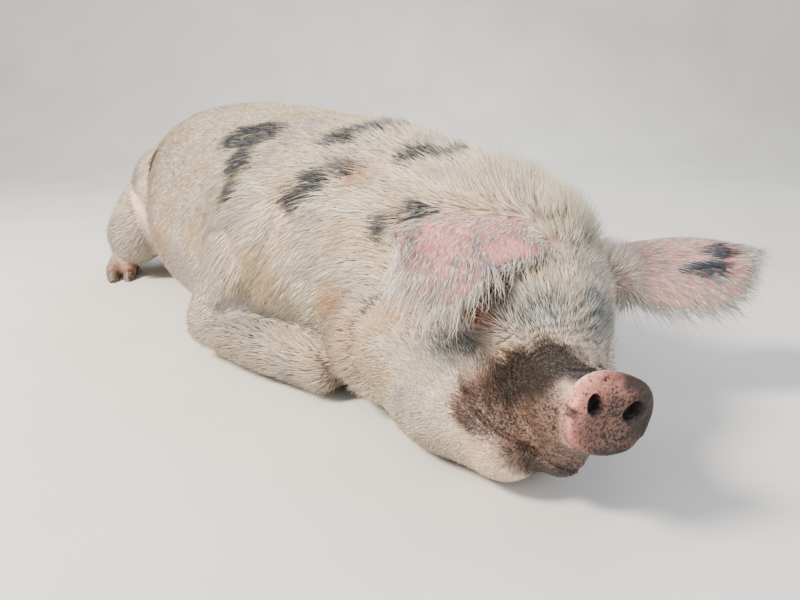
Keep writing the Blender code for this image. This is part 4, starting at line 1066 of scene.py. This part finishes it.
def skin_material():
    """Living skin: soft, pink and dull, with pores about 3 mm apart where the bristles grow and fine
    creases about 8 mm apart. Mud on it is darker."""
    made, tree, shader = blank("skin of the sow, pores and creases")
    place = add(tree, "ShaderNodeTexCoord").outputs["Object"]
    marks = add(tree, "ShaderNodeGroup", {"Place": place}, node_tree=MARKINGS).outputs
    bare, ear, inner, lid, dark = (
        add(tree, "ShaderNodeAttribute", attribute_name=name).outputs["Fac"]
        for name in ("bare", "ear", "ear_inner", "lid", "dark")
    )
    fine = add(tree, "ShaderNodeTexNoise", {"Vector": place, "Scale": 60, "Detail": 4}).outputs["Fac"]
    blotch = add(tree, "ShaderNodeTexNoise", {
        "Vector": place, "Scale": 19, "Detail": 3, "Roughness": 0.7}).outputs["Fac"]
    hide_colour = ramp(tree, fine, ((0.30, "c9a896"), (0.52, "dcbca8"), (0.72, "ead2bd")))
    ear_colour = ramp(tree, blotch, ((0.36, "857a80"), (0.44, "c08885"), (0.54, "df918b"), (0.72, "e9aca2")))
    snout = ramp(tree, blotch, ((0.34, "7c5046"), (0.46, "ac6c60"), (0.58, "cf8578"), (0.75, "e29f90")))
    # Lid colour: red-brown skin of the folds round the eyes, darkened as painted shade where the ears shade
    # the eye hollows.
    fold_skin_and_ear_shade = ramp(tree, blotch, ((0.36, "35201a"), (0.50, "6a4238"), (0.66, "96675a")))
    mud = ramp(tree, fine, ((0.35, "120d09"), (0.55, "241b15"), (0.75, "3d3129")))
    colour = layered(tree, hide_colour, (
        # The inner face of the ears is their own reddish skin, darkened as painted shade under the hanging
        # flap.
        (marks["Blush"], 0.75, "cc847b"), (ear, 1, ear_colour), (inner, 1, "8c5a4c"), (bare, 1, snout),
        (lid, 1, fold_skin_and_ear_shade), (marks["GrimeAndDiscShade"], 0.9, "5f4238"), (marks["FrostAndCheekShade"], 1, "a8a29c"),
        (marks["LowSideShade"], 1, "a39a94"), (marks["Spot"], 1, "3f444b"), (marks["Dirt"], 1, "77675a"),
        # The last colour below is the near-black painted shade in the nostrils and the mouth line, and the
        # dark of the rim's notch.
        (marks["Mud"], 1, mud), (marks["Speck"], 1, "1e140f"), (dark, 1, "150d0a"),
    ))
    tree.links.new(colour, shader.inputs["Base Color"])
    rough = add(tree, "ShaderNodeMapRange", {
        "Value": fine, "From Min": 0.3, "From Max": 0.7, "To Min": 0.42, "To Max": 0.62})
    tree.links.new(rough.outputs[0], shader.inputs["Roughness"])
    pores = add(tree, "ShaderNodeTexVoronoi", {"Vector": place, "Scale": 330}).outputs["Distance"]
    creases = add(tree, "ShaderNodeTexVoronoi", {
        "Vector": place, "Scale": 125}, feature="DISTANCE_TO_EDGE").outputs["Distance"]
    creases = add(tree, "ShaderNodeMapRange", {"Value": creases, "From Max": 0.12}).outputs[0]
    relief = math_node(tree, "MULTIPLY", pores, 0.35)
    relief = math_node(tree, "ADD", relief, math_node(tree, "MULTIPLY", creases, 0.5))
    relief = math_node(tree, "ADD", relief, math_node(tree, "MULTIPLY", fine, 1.6))
    bump = add(tree, "ShaderNodeBump", {"Height": relief, "Strength": 0.55, "Distance": 0.0012})
    tree.links.new(bump.outputs[0], shader.inputs["Normal"])
    shader.inputs["Specular IOR Level"].default_value = 0.35
    shader.inputs["Subsurface Weight"].default_value = 0.0
    return made


hide.data.materials.clear()
hide.data.materials.append(skin_material())
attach(hide, "root")
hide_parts(*[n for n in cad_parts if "claw" not in n and "eye" not in n])

# Coat: straight bristles lying back along the body in overlapping tufts, 25 to 40 mm long on the
# trunk, shortest on the face and feet, standing in a whorl on the poll. Each tuft is a thin tapered
# blade that grows from the hide and bends towards it.
PIECES = ("rump_right", "rump_left", "barrel_right", "barrel_left", "shoulder_right", "shoulder_left",
          "neck", "face_right", "ear_right", "ear_left", "face_left", "foreleg_left", "hindleg_left")
PATCH, FLOOR_CLEAR = 0.003, 0.003


def blade(name, rings):
    """A unit tuft along Z: a point at its root, three-sided rings of a share and a width, and a tip."""
    mesh = bmesh.new()
    share = mesh.verts.layers.float.new("share")
    patch = mesh.verts.layers.float_vector.new("patch")
    rows = []
    for k, (place, width) in enumerate(rings):
        row = []
        for j, (x, y) in enumerate(((-0.5, 0.0), (0.5, 0.0), (0.0, 0.36))):
            vertex = mesh.verts.new((x * width, y * width, place))
            vertex[share], vertex[patch] = place, (j / 2, place, 0)
            row.append(vertex)
        rows.append(row)
    root, tip = mesh.verts.new((0, 0, 0)), mesh.verts.new((0, 0, 1))
    root[share], root[patch] = 0, (0.5, 0, 0)
    tip[share], tip[patch] = 1, (0.5, 1, 0)
    for near, far in zip(rows, rows[1:]):
        for j in range(3):
            after = (j + 1) % 3
            mesh.faces.new((near[j], near[after], far[after], far[j]))
    for j in range(3):
        mesh.faces.new((rows[-1][j], rows[-1][(j + 1) % 3], tip))
        mesh.faces.new((rows[0][(j + 1) % 3], rows[0][j], root))
    bmesh.ops.recalc_face_normals(mesh, faces=mesh.faces)
    bmesh.ops.triangulate(mesh, faces=mesh.faces)
    data = bpy.data.meshes.new(name)
    mesh.to_mesh(data)
    mesh.free()
    data.shade_smooth()
    obj = bpy.data.objects.new(name, data)
    bpy.context.scene.collection.objects.link(obj)
    obj.hide_render = True
    return obj


def coat_tree():
    tree = bpy.data.node_groups.new("coat", "GeometryNodeTree")
    sockets = dict(Geometry="Geometry", Blade="Object", Material="Material", Where="String", Seed="Int")
    sockets |= dict.fromkeys(("Piece", "Others", "Density", "Width", "Stretch", "Fall", "Wave"), "Float")
    for name, kind in sockets.items():
        tree.interface.new_socket(name, in_out="INPUT", socket_type="NodeSocket" + kind)
    tree.interface.new_socket("Geometry", in_out="OUTPUT", socket_type="NodeSocketGeometry")
    given = tree.nodes.new("NodeGroupInput").outputs

    def named(name, kind="FLOAT"):
        node = add(tree, "GeometryNodeInputNamedAttribute", {"Name": name}, data_type=kind)
        return node.outputs["Attribute"]

    def calc(operation, a, b=0.0):
        return add(tree, "ShaderNodeMath", {0: a, 1: b}, operation=operation).outputs[0]

    def vector(operation, a, b=None, scale=None):
        links = {0: a}
        if b is not None:
            links[1] = b
        if scale is not None:
            links["Scale"] = scale
        node = add(tree, "ShaderNodeVectorMath", links, operation=operation)
        return node.outputs["Value" if operation in ("DOT_PRODUCT", "LENGTH") else "Vector"]

    def stored(geometry, name, value, kind="FLOAT", domain="POINT"):
        return add(tree, "GeometryNodeStoreNamedAttribute", {
            "Geometry": geometry, "Name": name, "Value": value,
        }, data_type=kind, domain=domain).outputs["Geometry"]

    def chance(low, high, seed):
        return add(tree, "FunctionNodeRandomValue", {
            "Min": low, "Max": high, "Seed": seed}, data_type="FLOAT").outputs[1]

    def drift(scale, detail, amount):
        """A smooth random way that changes over the hide."""
        noise = add(tree, "ShaderNodeTexNoise", {"Vector": position, "Scale": scale, "Detail": detail})
        return vector("SCALE", vector("SUBTRACT", noise.outputs["Color"], (0.5, 0.5, 0.5)), scale=amount)

    off = calc("ABSOLUTE", calc("SUBTRACT", named("piece"), given["Piece"]))
    chosen = add(tree, "FunctionNodeCompare", {
        0: off, 1: given["Others"]}, data_type="FLOAT", operation="LESS_THAN").outputs[0]
    part = add(tree, "GeometryNodeSeparateGeometry", {
        "Geometry": given["Geometry"], "Selection": chosen}, domain="FACE")
    density = calc("MULTIPLY", given["Density"], named(given["Where"]))
    sown = add(tree, "GeometryNodeDistributePointsOnFaces", {
        "Mesh": part.outputs[0], "Density": density, "Seed": given["Seed"]}, distribute_method="RANDOM")
    position = add(tree, "GeometryNodeInputPosition").outputs[0]
    points = stored(sown.outputs["Points"], "out", sown.outputs["Normal"], "FLOAT_VECTOR")
    points = stored(points, "root", position, "FLOAT_VECTOR")
    points = stored(points, "dice", chance(0.0, 1.0, 5))
    stray = add(tree, "FunctionNodeRandomValue", {
        "Min": (-0.11,) * 3, "Max": (0.11,) * 3, "Seed": 3}, data_type="FLOAT_VECTOR").outputs[0]
    way = vector("ADD", named("lie", "FLOAT_VECTOR"), drift(26.0, 2.0, 0.9))
    way = vector("ADD", way, vector("ADD", drift(110.0, 1.0, 0.7), stray))
    out = named("out", "FLOAT_VECTOR")
    way = vector("SUBTRACT", way, vector("SCALE", out, scale=vector("DOT_PRODUCT", way, out)))
    way = vector("NORMALIZE", way)
    lift = calc("MULTIPLY", named("lift"), chance(0.55, 1.45, 8))
    raised = vector("SCALE", out, scale=calc("SINE", lift))
    way = vector("ADD", vector("SCALE", way, scale=calc("COSINE", lift)), raised)
    size = calc("MULTIPLY", calc("MULTIPLY", named("reach"), chance(0.70, 1.20, 6)), given["Stretch"])
    level = add(tree, "ShaderNodeSeparateXYZ", {0: position}).outputs["Z"]
    lowest = calc("DIVIDE", calc("SUBTRACT", FLOOR_CLEAR, level), size)
    lowest = calc("ADD", lowest, calc("ADD", given["Fall"], 0.10))
    rise = calc("MAXIMUM", add(tree, "ShaderNodeSeparateXYZ", {0: way}).outputs["Z"], lowest)
    rise = calc("MINIMUM", rise, 1.0)
    flat = vector("NORMALIZE", vector("MULTIPLY", way, (1, 1, 0)))
    upright = add(tree, "ShaderNodeCombineXYZ", {2: rise}).outputs[0]
    way = vector("ADD", vector("SCALE", flat, scale=calc("COSINE", calc("ARCSINE", rise))), upright)
    points = stored(points, "way", way, "FLOAT_VECTOR")
    points = stored(points, "size", size)
    way = named("way", "FLOAT_VECTOR")
    side = vector("CROSS_PRODUCT", way, out)
    turn = add(tree, "FunctionNodeAxesToRotation", {"Primary Axis": way, "Secondary Axis": side},
               primary_axis="Z", secondary_axis="X").outputs[0]
    width = calc("MULTIPLY", chance(0.7, 1.3, 7), given["Width"])
    scale = add(tree, "ShaderNodeCombineXYZ", {0: width, 1: width, 2: named("size")}).outputs[0]
    shape = add(tree, "GeometryNodeObjectInfo", {"Object": given["Blade"]}, transform_space="ORIGINAL")
    grown = add(tree, "GeometryNodeInstanceOnPoints", {
        "Points": points, "Instance": shape.outputs["Geometry"], "Rotation": turn, "Scale": scale}).outputs[0]
    grown = add(tree, "GeometryNodeRealizeInstances", {"Geometry": grown}).outputs[0]
    along = named("share")
    bend = calc("MULTIPLY", named("size"), calc("POWER", along, 2.0))
    side = vector("CROSS_PRODUCT", named("way", "FLOAT_VECTOR"), out)
    sway = calc("MULTIPLY", calc("SUBTRACT", named("dice"), 0.5), 0.30)
    swing = calc("SINE", calc("ADD", calc("MULTIPLY", along, 9.0), calc("MULTIPLY", named("dice"), 40.0)))
    sway = calc("ADD", sway, calc("MULTIPLY", swing, given["Wave"]))
    fall = add(tree, "ShaderNodeCombineXYZ", {2: calc("MULTIPLY", given["Fall"], -1.0)}).outputs[0]
    shift = vector("ADD", vector("SCALE", out, scale=-0.07), vector("SCALE", side, scale=sway))
    shift = vector("ADD", shift, fall)
    grown = add(tree, "GeometryNodeSetPosition", {
        "Geometry": grown, "Offset": vector("SCALE", shift, scale=bend)}).outputs[0]
    patch = vector("SUBTRACT", named("patch", "FLOAT_VECTOR"), (0.5, 0.5, 0))
    patch = vector("ADD", named("OFBake", "FLOAT_VECTOR"), vector("SCALE", patch, scale=PATCH))
    grown = stored(grown, "Bake", patch, "FLOAT2", "CORNER")
    for name in ("OFBake", "out", "way", "size", "patch", "lie", "reach", "lift", "spread", "bare", "piece"):
        grown = add(tree, "GeometryNodeRemoveAttribute", {"Geometry": grown, "Name": name}).outputs[0]
    grown = add(tree, "GeometryNodeSetMaterial", {
        "Geometry": grown, "Material": given["Material"]}).outputs[0]
    tree.links.new(grown, tree.nodes.new("NodeGroupOutput").inputs["Geometry"])
    return tree


def bristle_material():
    """Pig bristle: stiff, translucent cream hair, paler and finer at the split tips, with a dull
    silky gloss, and darker towards the root as painted shade deep in the coat. Dark hair grows on the
    spots, and mud mats it."""
    made, tree, shader = blank("bristle, cream and slate")
    root = add(tree, "ShaderNodeAttribute", attribute_name="root").outputs["Vector"]
    dice, share, ear = (
        add(tree, "ShaderNodeAttribute", attribute_name=name).outputs["Fac"]
        for name in ("dice", "share", "ear")
    )
    marks = add(tree, "ShaderNodeGroup", {"Place": root}, node_tree=MARKINGS).outputs
    streak = add(tree, "ShaderNodeTexNoise", {"Vector": root, "Scale": 48, "Detail": 3}).outputs["Fac"]
    tone = math_node(tree, "MULTIPLY", streak, 0.45)
    tone = math_node(tree, "ADD", math_node(tree, "MULTIPLY", dice, 0.55), tone)
    tint = add(tree, "ShaderNodeTexNoise", {
        "Vector": root, "Scale": 13, "Detail": 3, "Roughness": 0.6}).outputs["Fac"]
    warm = add(tree, "ShaderNodeMapRange", {
        "Value": tint, "From Min": 0.50, "From Max": 0.63, "To Max": 0.60}).outputs[0]
    cool = add(tree, "ShaderNodeMapRange", {
        "Value": tint, "From Min": 0.47, "From Max": 0.37, "To Max": 0.55}).outputs[0]
    cream = ramp(tree, tone, (
        (0.12, "a89885"), (0.28, "cdbda5"), (0.46, "e4d8c1"), (0.64, "f0e7d5"), (0.84, "faf6ed")))
    pale = ramp(tree, tone, ((0.15, "b5aaa0"), (0.45, "e2dace"), (0.80, "faf6ef")))
    slate = ramp(tree, tone, ((0.25, "2b2f34"), (0.55, "454a51"), (0.78, "6f7277"), (0.90, "b4b2b0")))
    frost_and_cheek_shade = ramp(tree, tone, ((0.2, "4a4b4a"), (0.45, "868784"), (0.75, "cfcfca")))
    mud = ramp(tree, tone, ((0.2, "16100c"), (0.5, "2f261f"), (0.85, "5d5247")))
    colour = layered(tree, cream, (
        (warm, 1, "d3b98c"), (cool, 1, "aaa3a3"), (ear, 1, pale), (marks["Stain"], 0.75, "c8966b"),
        (marks["LowSideShade"], 0.7, "a39b97"), (marks["Blush"], 0.45, "c99a92"), (marks["Spot"], 1, slate),
        (marks["Dirt"], 0.7, "786859"), (marks["FrostAndCheekShade"], 1, frost_and_cheek_shade), (marks["GrimeAndDiscShade"], 0.9, "5d453b"),
        (marks["Speck"], 0.8, "3a2c23"), (marks["Mud"], 1, mud),
    ))
    # Painted shade: each tuft darkens to about three quarters of its colour towards the root, for the shade
    # deep in the coat.
    depth = add(tree, "ShaderNodeMapRange", {"Value": share, "From Max": 0.50, "To Min": 0.74}).outputs[0]
    depth = add(tree, "ShaderNodeCombineColor", {0: depth, 1: depth, 2: depth}).outputs[0]
    colour = add(tree, "ShaderNodeMix", {
        0: 1.0, 6: colour, 7: depth}, data_type="RGBA", blend_type="MULTIPLY").outputs[2]
    tree.links.new(colour, shader.inputs["Base Color"])
    shader.inputs["Roughness"].default_value = 0.55
    shader.inputs["Specular IOR Level"].default_value = 0.35
    return made


BRISTLE = bristle_material()
short_blade = blade("short blade", ((0.36, 1.0),))
COAT = coat_tree()
# Tufts to a square metre at a spread of 1, and their width.
GROWTH = {
    "rump": (66000, 0.0016), "barrel": (74000, 0.0016), "shoulder": (80000, 0.0015), "neck": (90000, 0.0014),
    "foreleg": (66000, 0.0015), "hindleg": (62000, 0.0015), "face": (80000, 0.0010), "ear": (90000, 0.0009),
}


def grow(name, seed, **given):
    """One piece of coat over one part of the hide, as a plain mesh."""
    bed = bpy.data.objects.new("bed", hide.data)
    bpy.context.scene.collection.objects.link(bed)
    modifier = bed.modifiers.new("coat", "NODES")
    modifier.node_group = COAT
    usual = dict(Material=BRISTLE, Others=0.5, Where="spread", Stretch=1.0, Fall=0.0, Wave=0.0)
    given = usual | dict(Seed=seed) | given
    for item in COAT.interface.items_tree:
        if item.in_out == "INPUT" and item.name in given:
            modifier[item.identifier] = given[item.name]
    bpy.context.view_layer.update()
    mesh = bpy.data.meshes.new_from_object(bed.evaluated_get(bpy.context.evaluated_depsgraph_get()))
    bpy.data.objects.remove(bed)
    mesh.attributes["Bake"].name = "OFBake"
    mesh.materials.clear()
    mesh.materials.append(BRISTLE)
    mesh.polygons.foreach_set("material_index", np.zeros(len(mesh.polygons), np.int32))
    obj = bpy.data.objects.new(name, mesh)
    bpy.context.scene.collection.objects.link(obj)
    mesh.name = name
    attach(obj, "root")


for k, name in enumerate(PIECES):
    density, width = GROWTH[name.split("_")[0]]
    grow("coat_" + name, 20 + k, Blade=short_blade, Piece=float(k), Density=float(density), Width=width)
bpy.data.objects.remove(short_blade)

# Long hair: the fringe that hangs from the edges of the ears, the whorl on the poll, the crest of
# the neck, the tail's brush and a few whiskers, each a fine wavy strand.
long_blade = blade("long blade", ((0.10, 0.8), (0.28, 1.0), (0.46, 0.9), (0.64, 0.7), (0.82, 0.45)))
grow("long_hair", 51, Blade=long_blade, Piece=6.0, Density=60000.0, Width=0.0009, Stretch=1.4,
     Where="strands", Others=50.0, Fall=0.30, Wave=0.08)
bpy.data.objects.remove(long_blade)

# Eyes: moist brown eyeballs, mostly under their heavy lids.
def eye_material(name, side):
    """A wet eyeball: dark brown iris and black pupil under a clear glossy film."""
    made, tree, shader = blank(name)
    place = add(tree, "ShaderNodeTexCoord").outputs["Object"]
    own = add(tree, "ShaderNodeMapping", {
        "Vector": place, "Location": tuple(eye_places[side].translation),
        "Rotation": tuple(eye_places[side].to_euler()), "Scale": (EYE_RADIUS,) * 3,
    }, vector_type="TEXTURE").outputs[0]
    x, y, z = add(tree, "ShaderNodeSeparateXYZ", {0: own}).outputs
    squares = [math_node(tree, "MULTIPLY", socket, socket) for socket in (x, z)]
    out = math_node(tree, "SQRT", math_node(tree, "ADD", *squares))
    colour = ramp(tree, out, (
        (0.30, "070504"), (0.36, "2e1a10"), (0.62, "4a2c1a"), (0.70, "1c110c"), (0.80, "b59f93")))
    tree.links.new(colour, shader.inputs["Base Color"])
    shader.inputs["Roughness"].default_value = 0.12
    shader.inputs["Coat Weight"].default_value = 1.0
    shader.inputs["Coat Roughness"].default_value = 0.03
    return made


for side, name in ((RIGHT, "eye_right"), (LEFT, "eye_left")):
    mesh = bmesh.new()
    bmesh.ops.create_icosphere(mesh, subdivisions=4, radius=EYE_RADIUS)
    for vertex in mesh.verts:
        front = max(vertex.co.y / EYE_RADIUS - 0.80, 0) / 0.20
        vertex.co *= 1 + 0.035 * front
    eye = joined(name + "_ball", moved([mesh], eye_places[side]))
    fixed = bmesh.new()
    fixed.from_mesh(eye.data)
    bmesh.ops.recalc_face_normals(fixed, faces=fixed.faces)
    fixed.to_mesh(eye.data)
    fixed.free()
    eye.data.shade_smooth()
    eye.data.materials.append(eye_material(name + " wet", side))
    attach(eye, "root")
    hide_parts(name)


# Claws: two to a foot with two dewclaws behind, of grey-brown horn that grows in rings from the
# toe and is scuffed and dirty at its edge.
def horn_material():
    """Horn: smooth, faintly waxy, with growth rings about 3 mm apart."""
    made, tree, shader = blank("hoof horn")
    place = add(tree, "ShaderNodeTexCoord").outputs["Object"]
    rings = add(tree, "ShaderNodeTexWave", {
        "Vector": place, "Scale": 52, "Distortion": 3.0, "Detail": 2.0, "Detail Scale": 1.5,
    }, bands_direction="X").outputs["Fac"]
    grime = add(tree, "ShaderNodeTexNoise", {"Vector": place, "Scale": 70, "Detail": 4}).outputs["Fac"]
    tone = math_node(tree, "MULTIPLY", grime, 0.7)
    tone = math_node(tree, "ADD", math_node(tree, "MULTIPLY", rings, 0.3), tone)
    colour = ramp(tree, tone, ((0.28, "352a22"), (0.48, "5f5145"), (0.68, "8b7a68")))
    tree.links.new(colour, shader.inputs["Base Color"])
    rough = add(tree, "ShaderNodeMapRange", {"Value": grime, "To Min": 0.35, "To Max": 0.75}).outputs[0]
    tree.links.new(rough, shader.inputs["Roughness"])
    relief = math_node(tree, "ADD", rings, grime)
    bump = add(tree, "ShaderNodeBump", {"Height": relief, "Strength": 0.4, "Distance": 0.0006})
    tree.links.new(bump.outputs[0], shader.inputs["Normal"])
    return made


HORN = horn_material()
for name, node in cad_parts.items():
    if "claw" not in name:
        continue
    mesh = bmesh.new()
    mesh.from_mesh(node.data)
    bmesh.ops.remove_doubles(mesh, verts=mesh.verts, dist=0.00002)
    bmesh.ops.dissolve_limit(mesh, angle_limit=math.radians(2), verts=mesh.verts, edges=mesh.edges)
    claw = joined(name.replace("claw_", "horn_"), [mesh])
    bevel = claw.modifiers.new("round", "BEVEL")
    bevel.width, bevel.segments, bevel.limit_method, bevel.angle_limit = 0.0016, 3, "ANGLE", math.radians(35)
    settle(claw)
    claw.data.materials.clear()
    claw.data.materials.append(HORN)
    claw.data.shade_smooth()
    claw.data.set_sharp_from_angle(angle=math.radians(60))
    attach(claw, "root")
    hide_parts(name)

# Floor, light and camera: a plain pale floor that runs up into a backdrop, a large soft lamp above
# and to her right, weaker ones behind and before her, and a camera low in front of her right shoulder.
VIEW_WAY, VIEW_DOWN = Vector((-0.848, 0.530, 0)).normalized(), math.radians(17.2)
FLOOR_BACK, FLOOR_CURVE = 2.6, 1.5


def backdrop():
    mesh = bmesh.new()
    rows = [(-7.0, 0.0), (FLOOR_BACK, 0.0)]
    for a in (0.3, 0.6, 0.9, 1.2, 1.57):
        rows.append((FLOOR_BACK + FLOOR_CURVE * math.sin(a), FLOOR_CURVE * (1 - math.cos(a))))
    rows.append((FLOOR_BACK + FLOOR_CURVE, 5.0))
    view = Matrix.Rotation(math.atan2(VIEW_WAY.y, VIEW_WAY.x), 4, "Z")
    lines = [[mesh.verts.new(view @ Vector((along, across, up))) for across in (-8, 8)] for along, up in rows]
    for near, far in zip(lines, lines[1:]):
        mesh.faces.new((near[0], far[0], far[1], near[1]))
    bmesh.ops.recalc_face_normals(mesh, faces=mesh.faces)
    floor = joined("floor", [mesh])
    floor.data.shade_smooth()
    made, tree, shader = blank("pale floor, matt")
    place = add(tree, "ShaderNodeTexCoord").outputs["Object"]
    grain = add(tree, "ShaderNodeTexNoise", {"Vector": place, "Scale": 3, "Detail": 3}).outputs["Fac"]
    tree.links.new(ramp(tree, grain, ((0.3, "d3d2ce"), (0.7, "dcdbd7"))), shader.inputs["Base Color"])
    shader.inputs["Roughness"].default_value = 0.8
    floor.data.materials.append(made)
    floor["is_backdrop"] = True


backdrop()
world = bpy.data.worlds.new("studio")
bpy.context.scene.world = world
world.use_nodes = True
world.node_tree.nodes["Background"].inputs["Color"].default_value = linear("e8ecf2")
world.node_tree.nodes["Background"].inputs["Strength"].default_value = 0.95


def lamp(name, place, aim, size, power, colour):
    data = bpy.data.lights.new(name, "AREA")
    data.shape, data.size, data.energy = "DISK", size, power
    data.color = linear(colour)[:3]
    obj = bpy.data.objects.new(name, data)
    bpy.context.scene.collection.objects.link(obj)
    obj.location = place
    obj.rotation_euler = (Vector(aim) - Vector(place)).to_track_quat("-Z", "Y").to_euler()


lamp("key", (-0.1, -2.5, 2.4), (0.3, 0, 0.2), 0.9, 300, "fff0dc")
lamp("front", (3.2, 0.2, 1.8), (0.5, 0, 0.2), 2.0, 44, "eef3ff")
lamp("back", (-2.0, 2.2, 2.6), (0, 0, 0.2), 2.0, 80, "f4f7ff")

camera_data = bpy.data.cameras.new("camera")
camera = bpy.data.objects.new("camera", camera_data)
bpy.context.scene.collection.objects.link(camera)
bpy.context.scene.camera = camera
look = VIEW_WAY * math.cos(VIEW_DOWN) - Vector((0, 0, math.sin(VIEW_DOWN)))
camera.location = (1.208, -0.499, 0.440)
camera.rotation_euler = look.to_track_quat("-Z", "Y").to_euler()
camera_data.sensor_width, camera_data.lens = 36, 28.8
camera_data.shift_x = -23.5 / 800
camera_data.clip_start = 0.02

low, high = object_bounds()
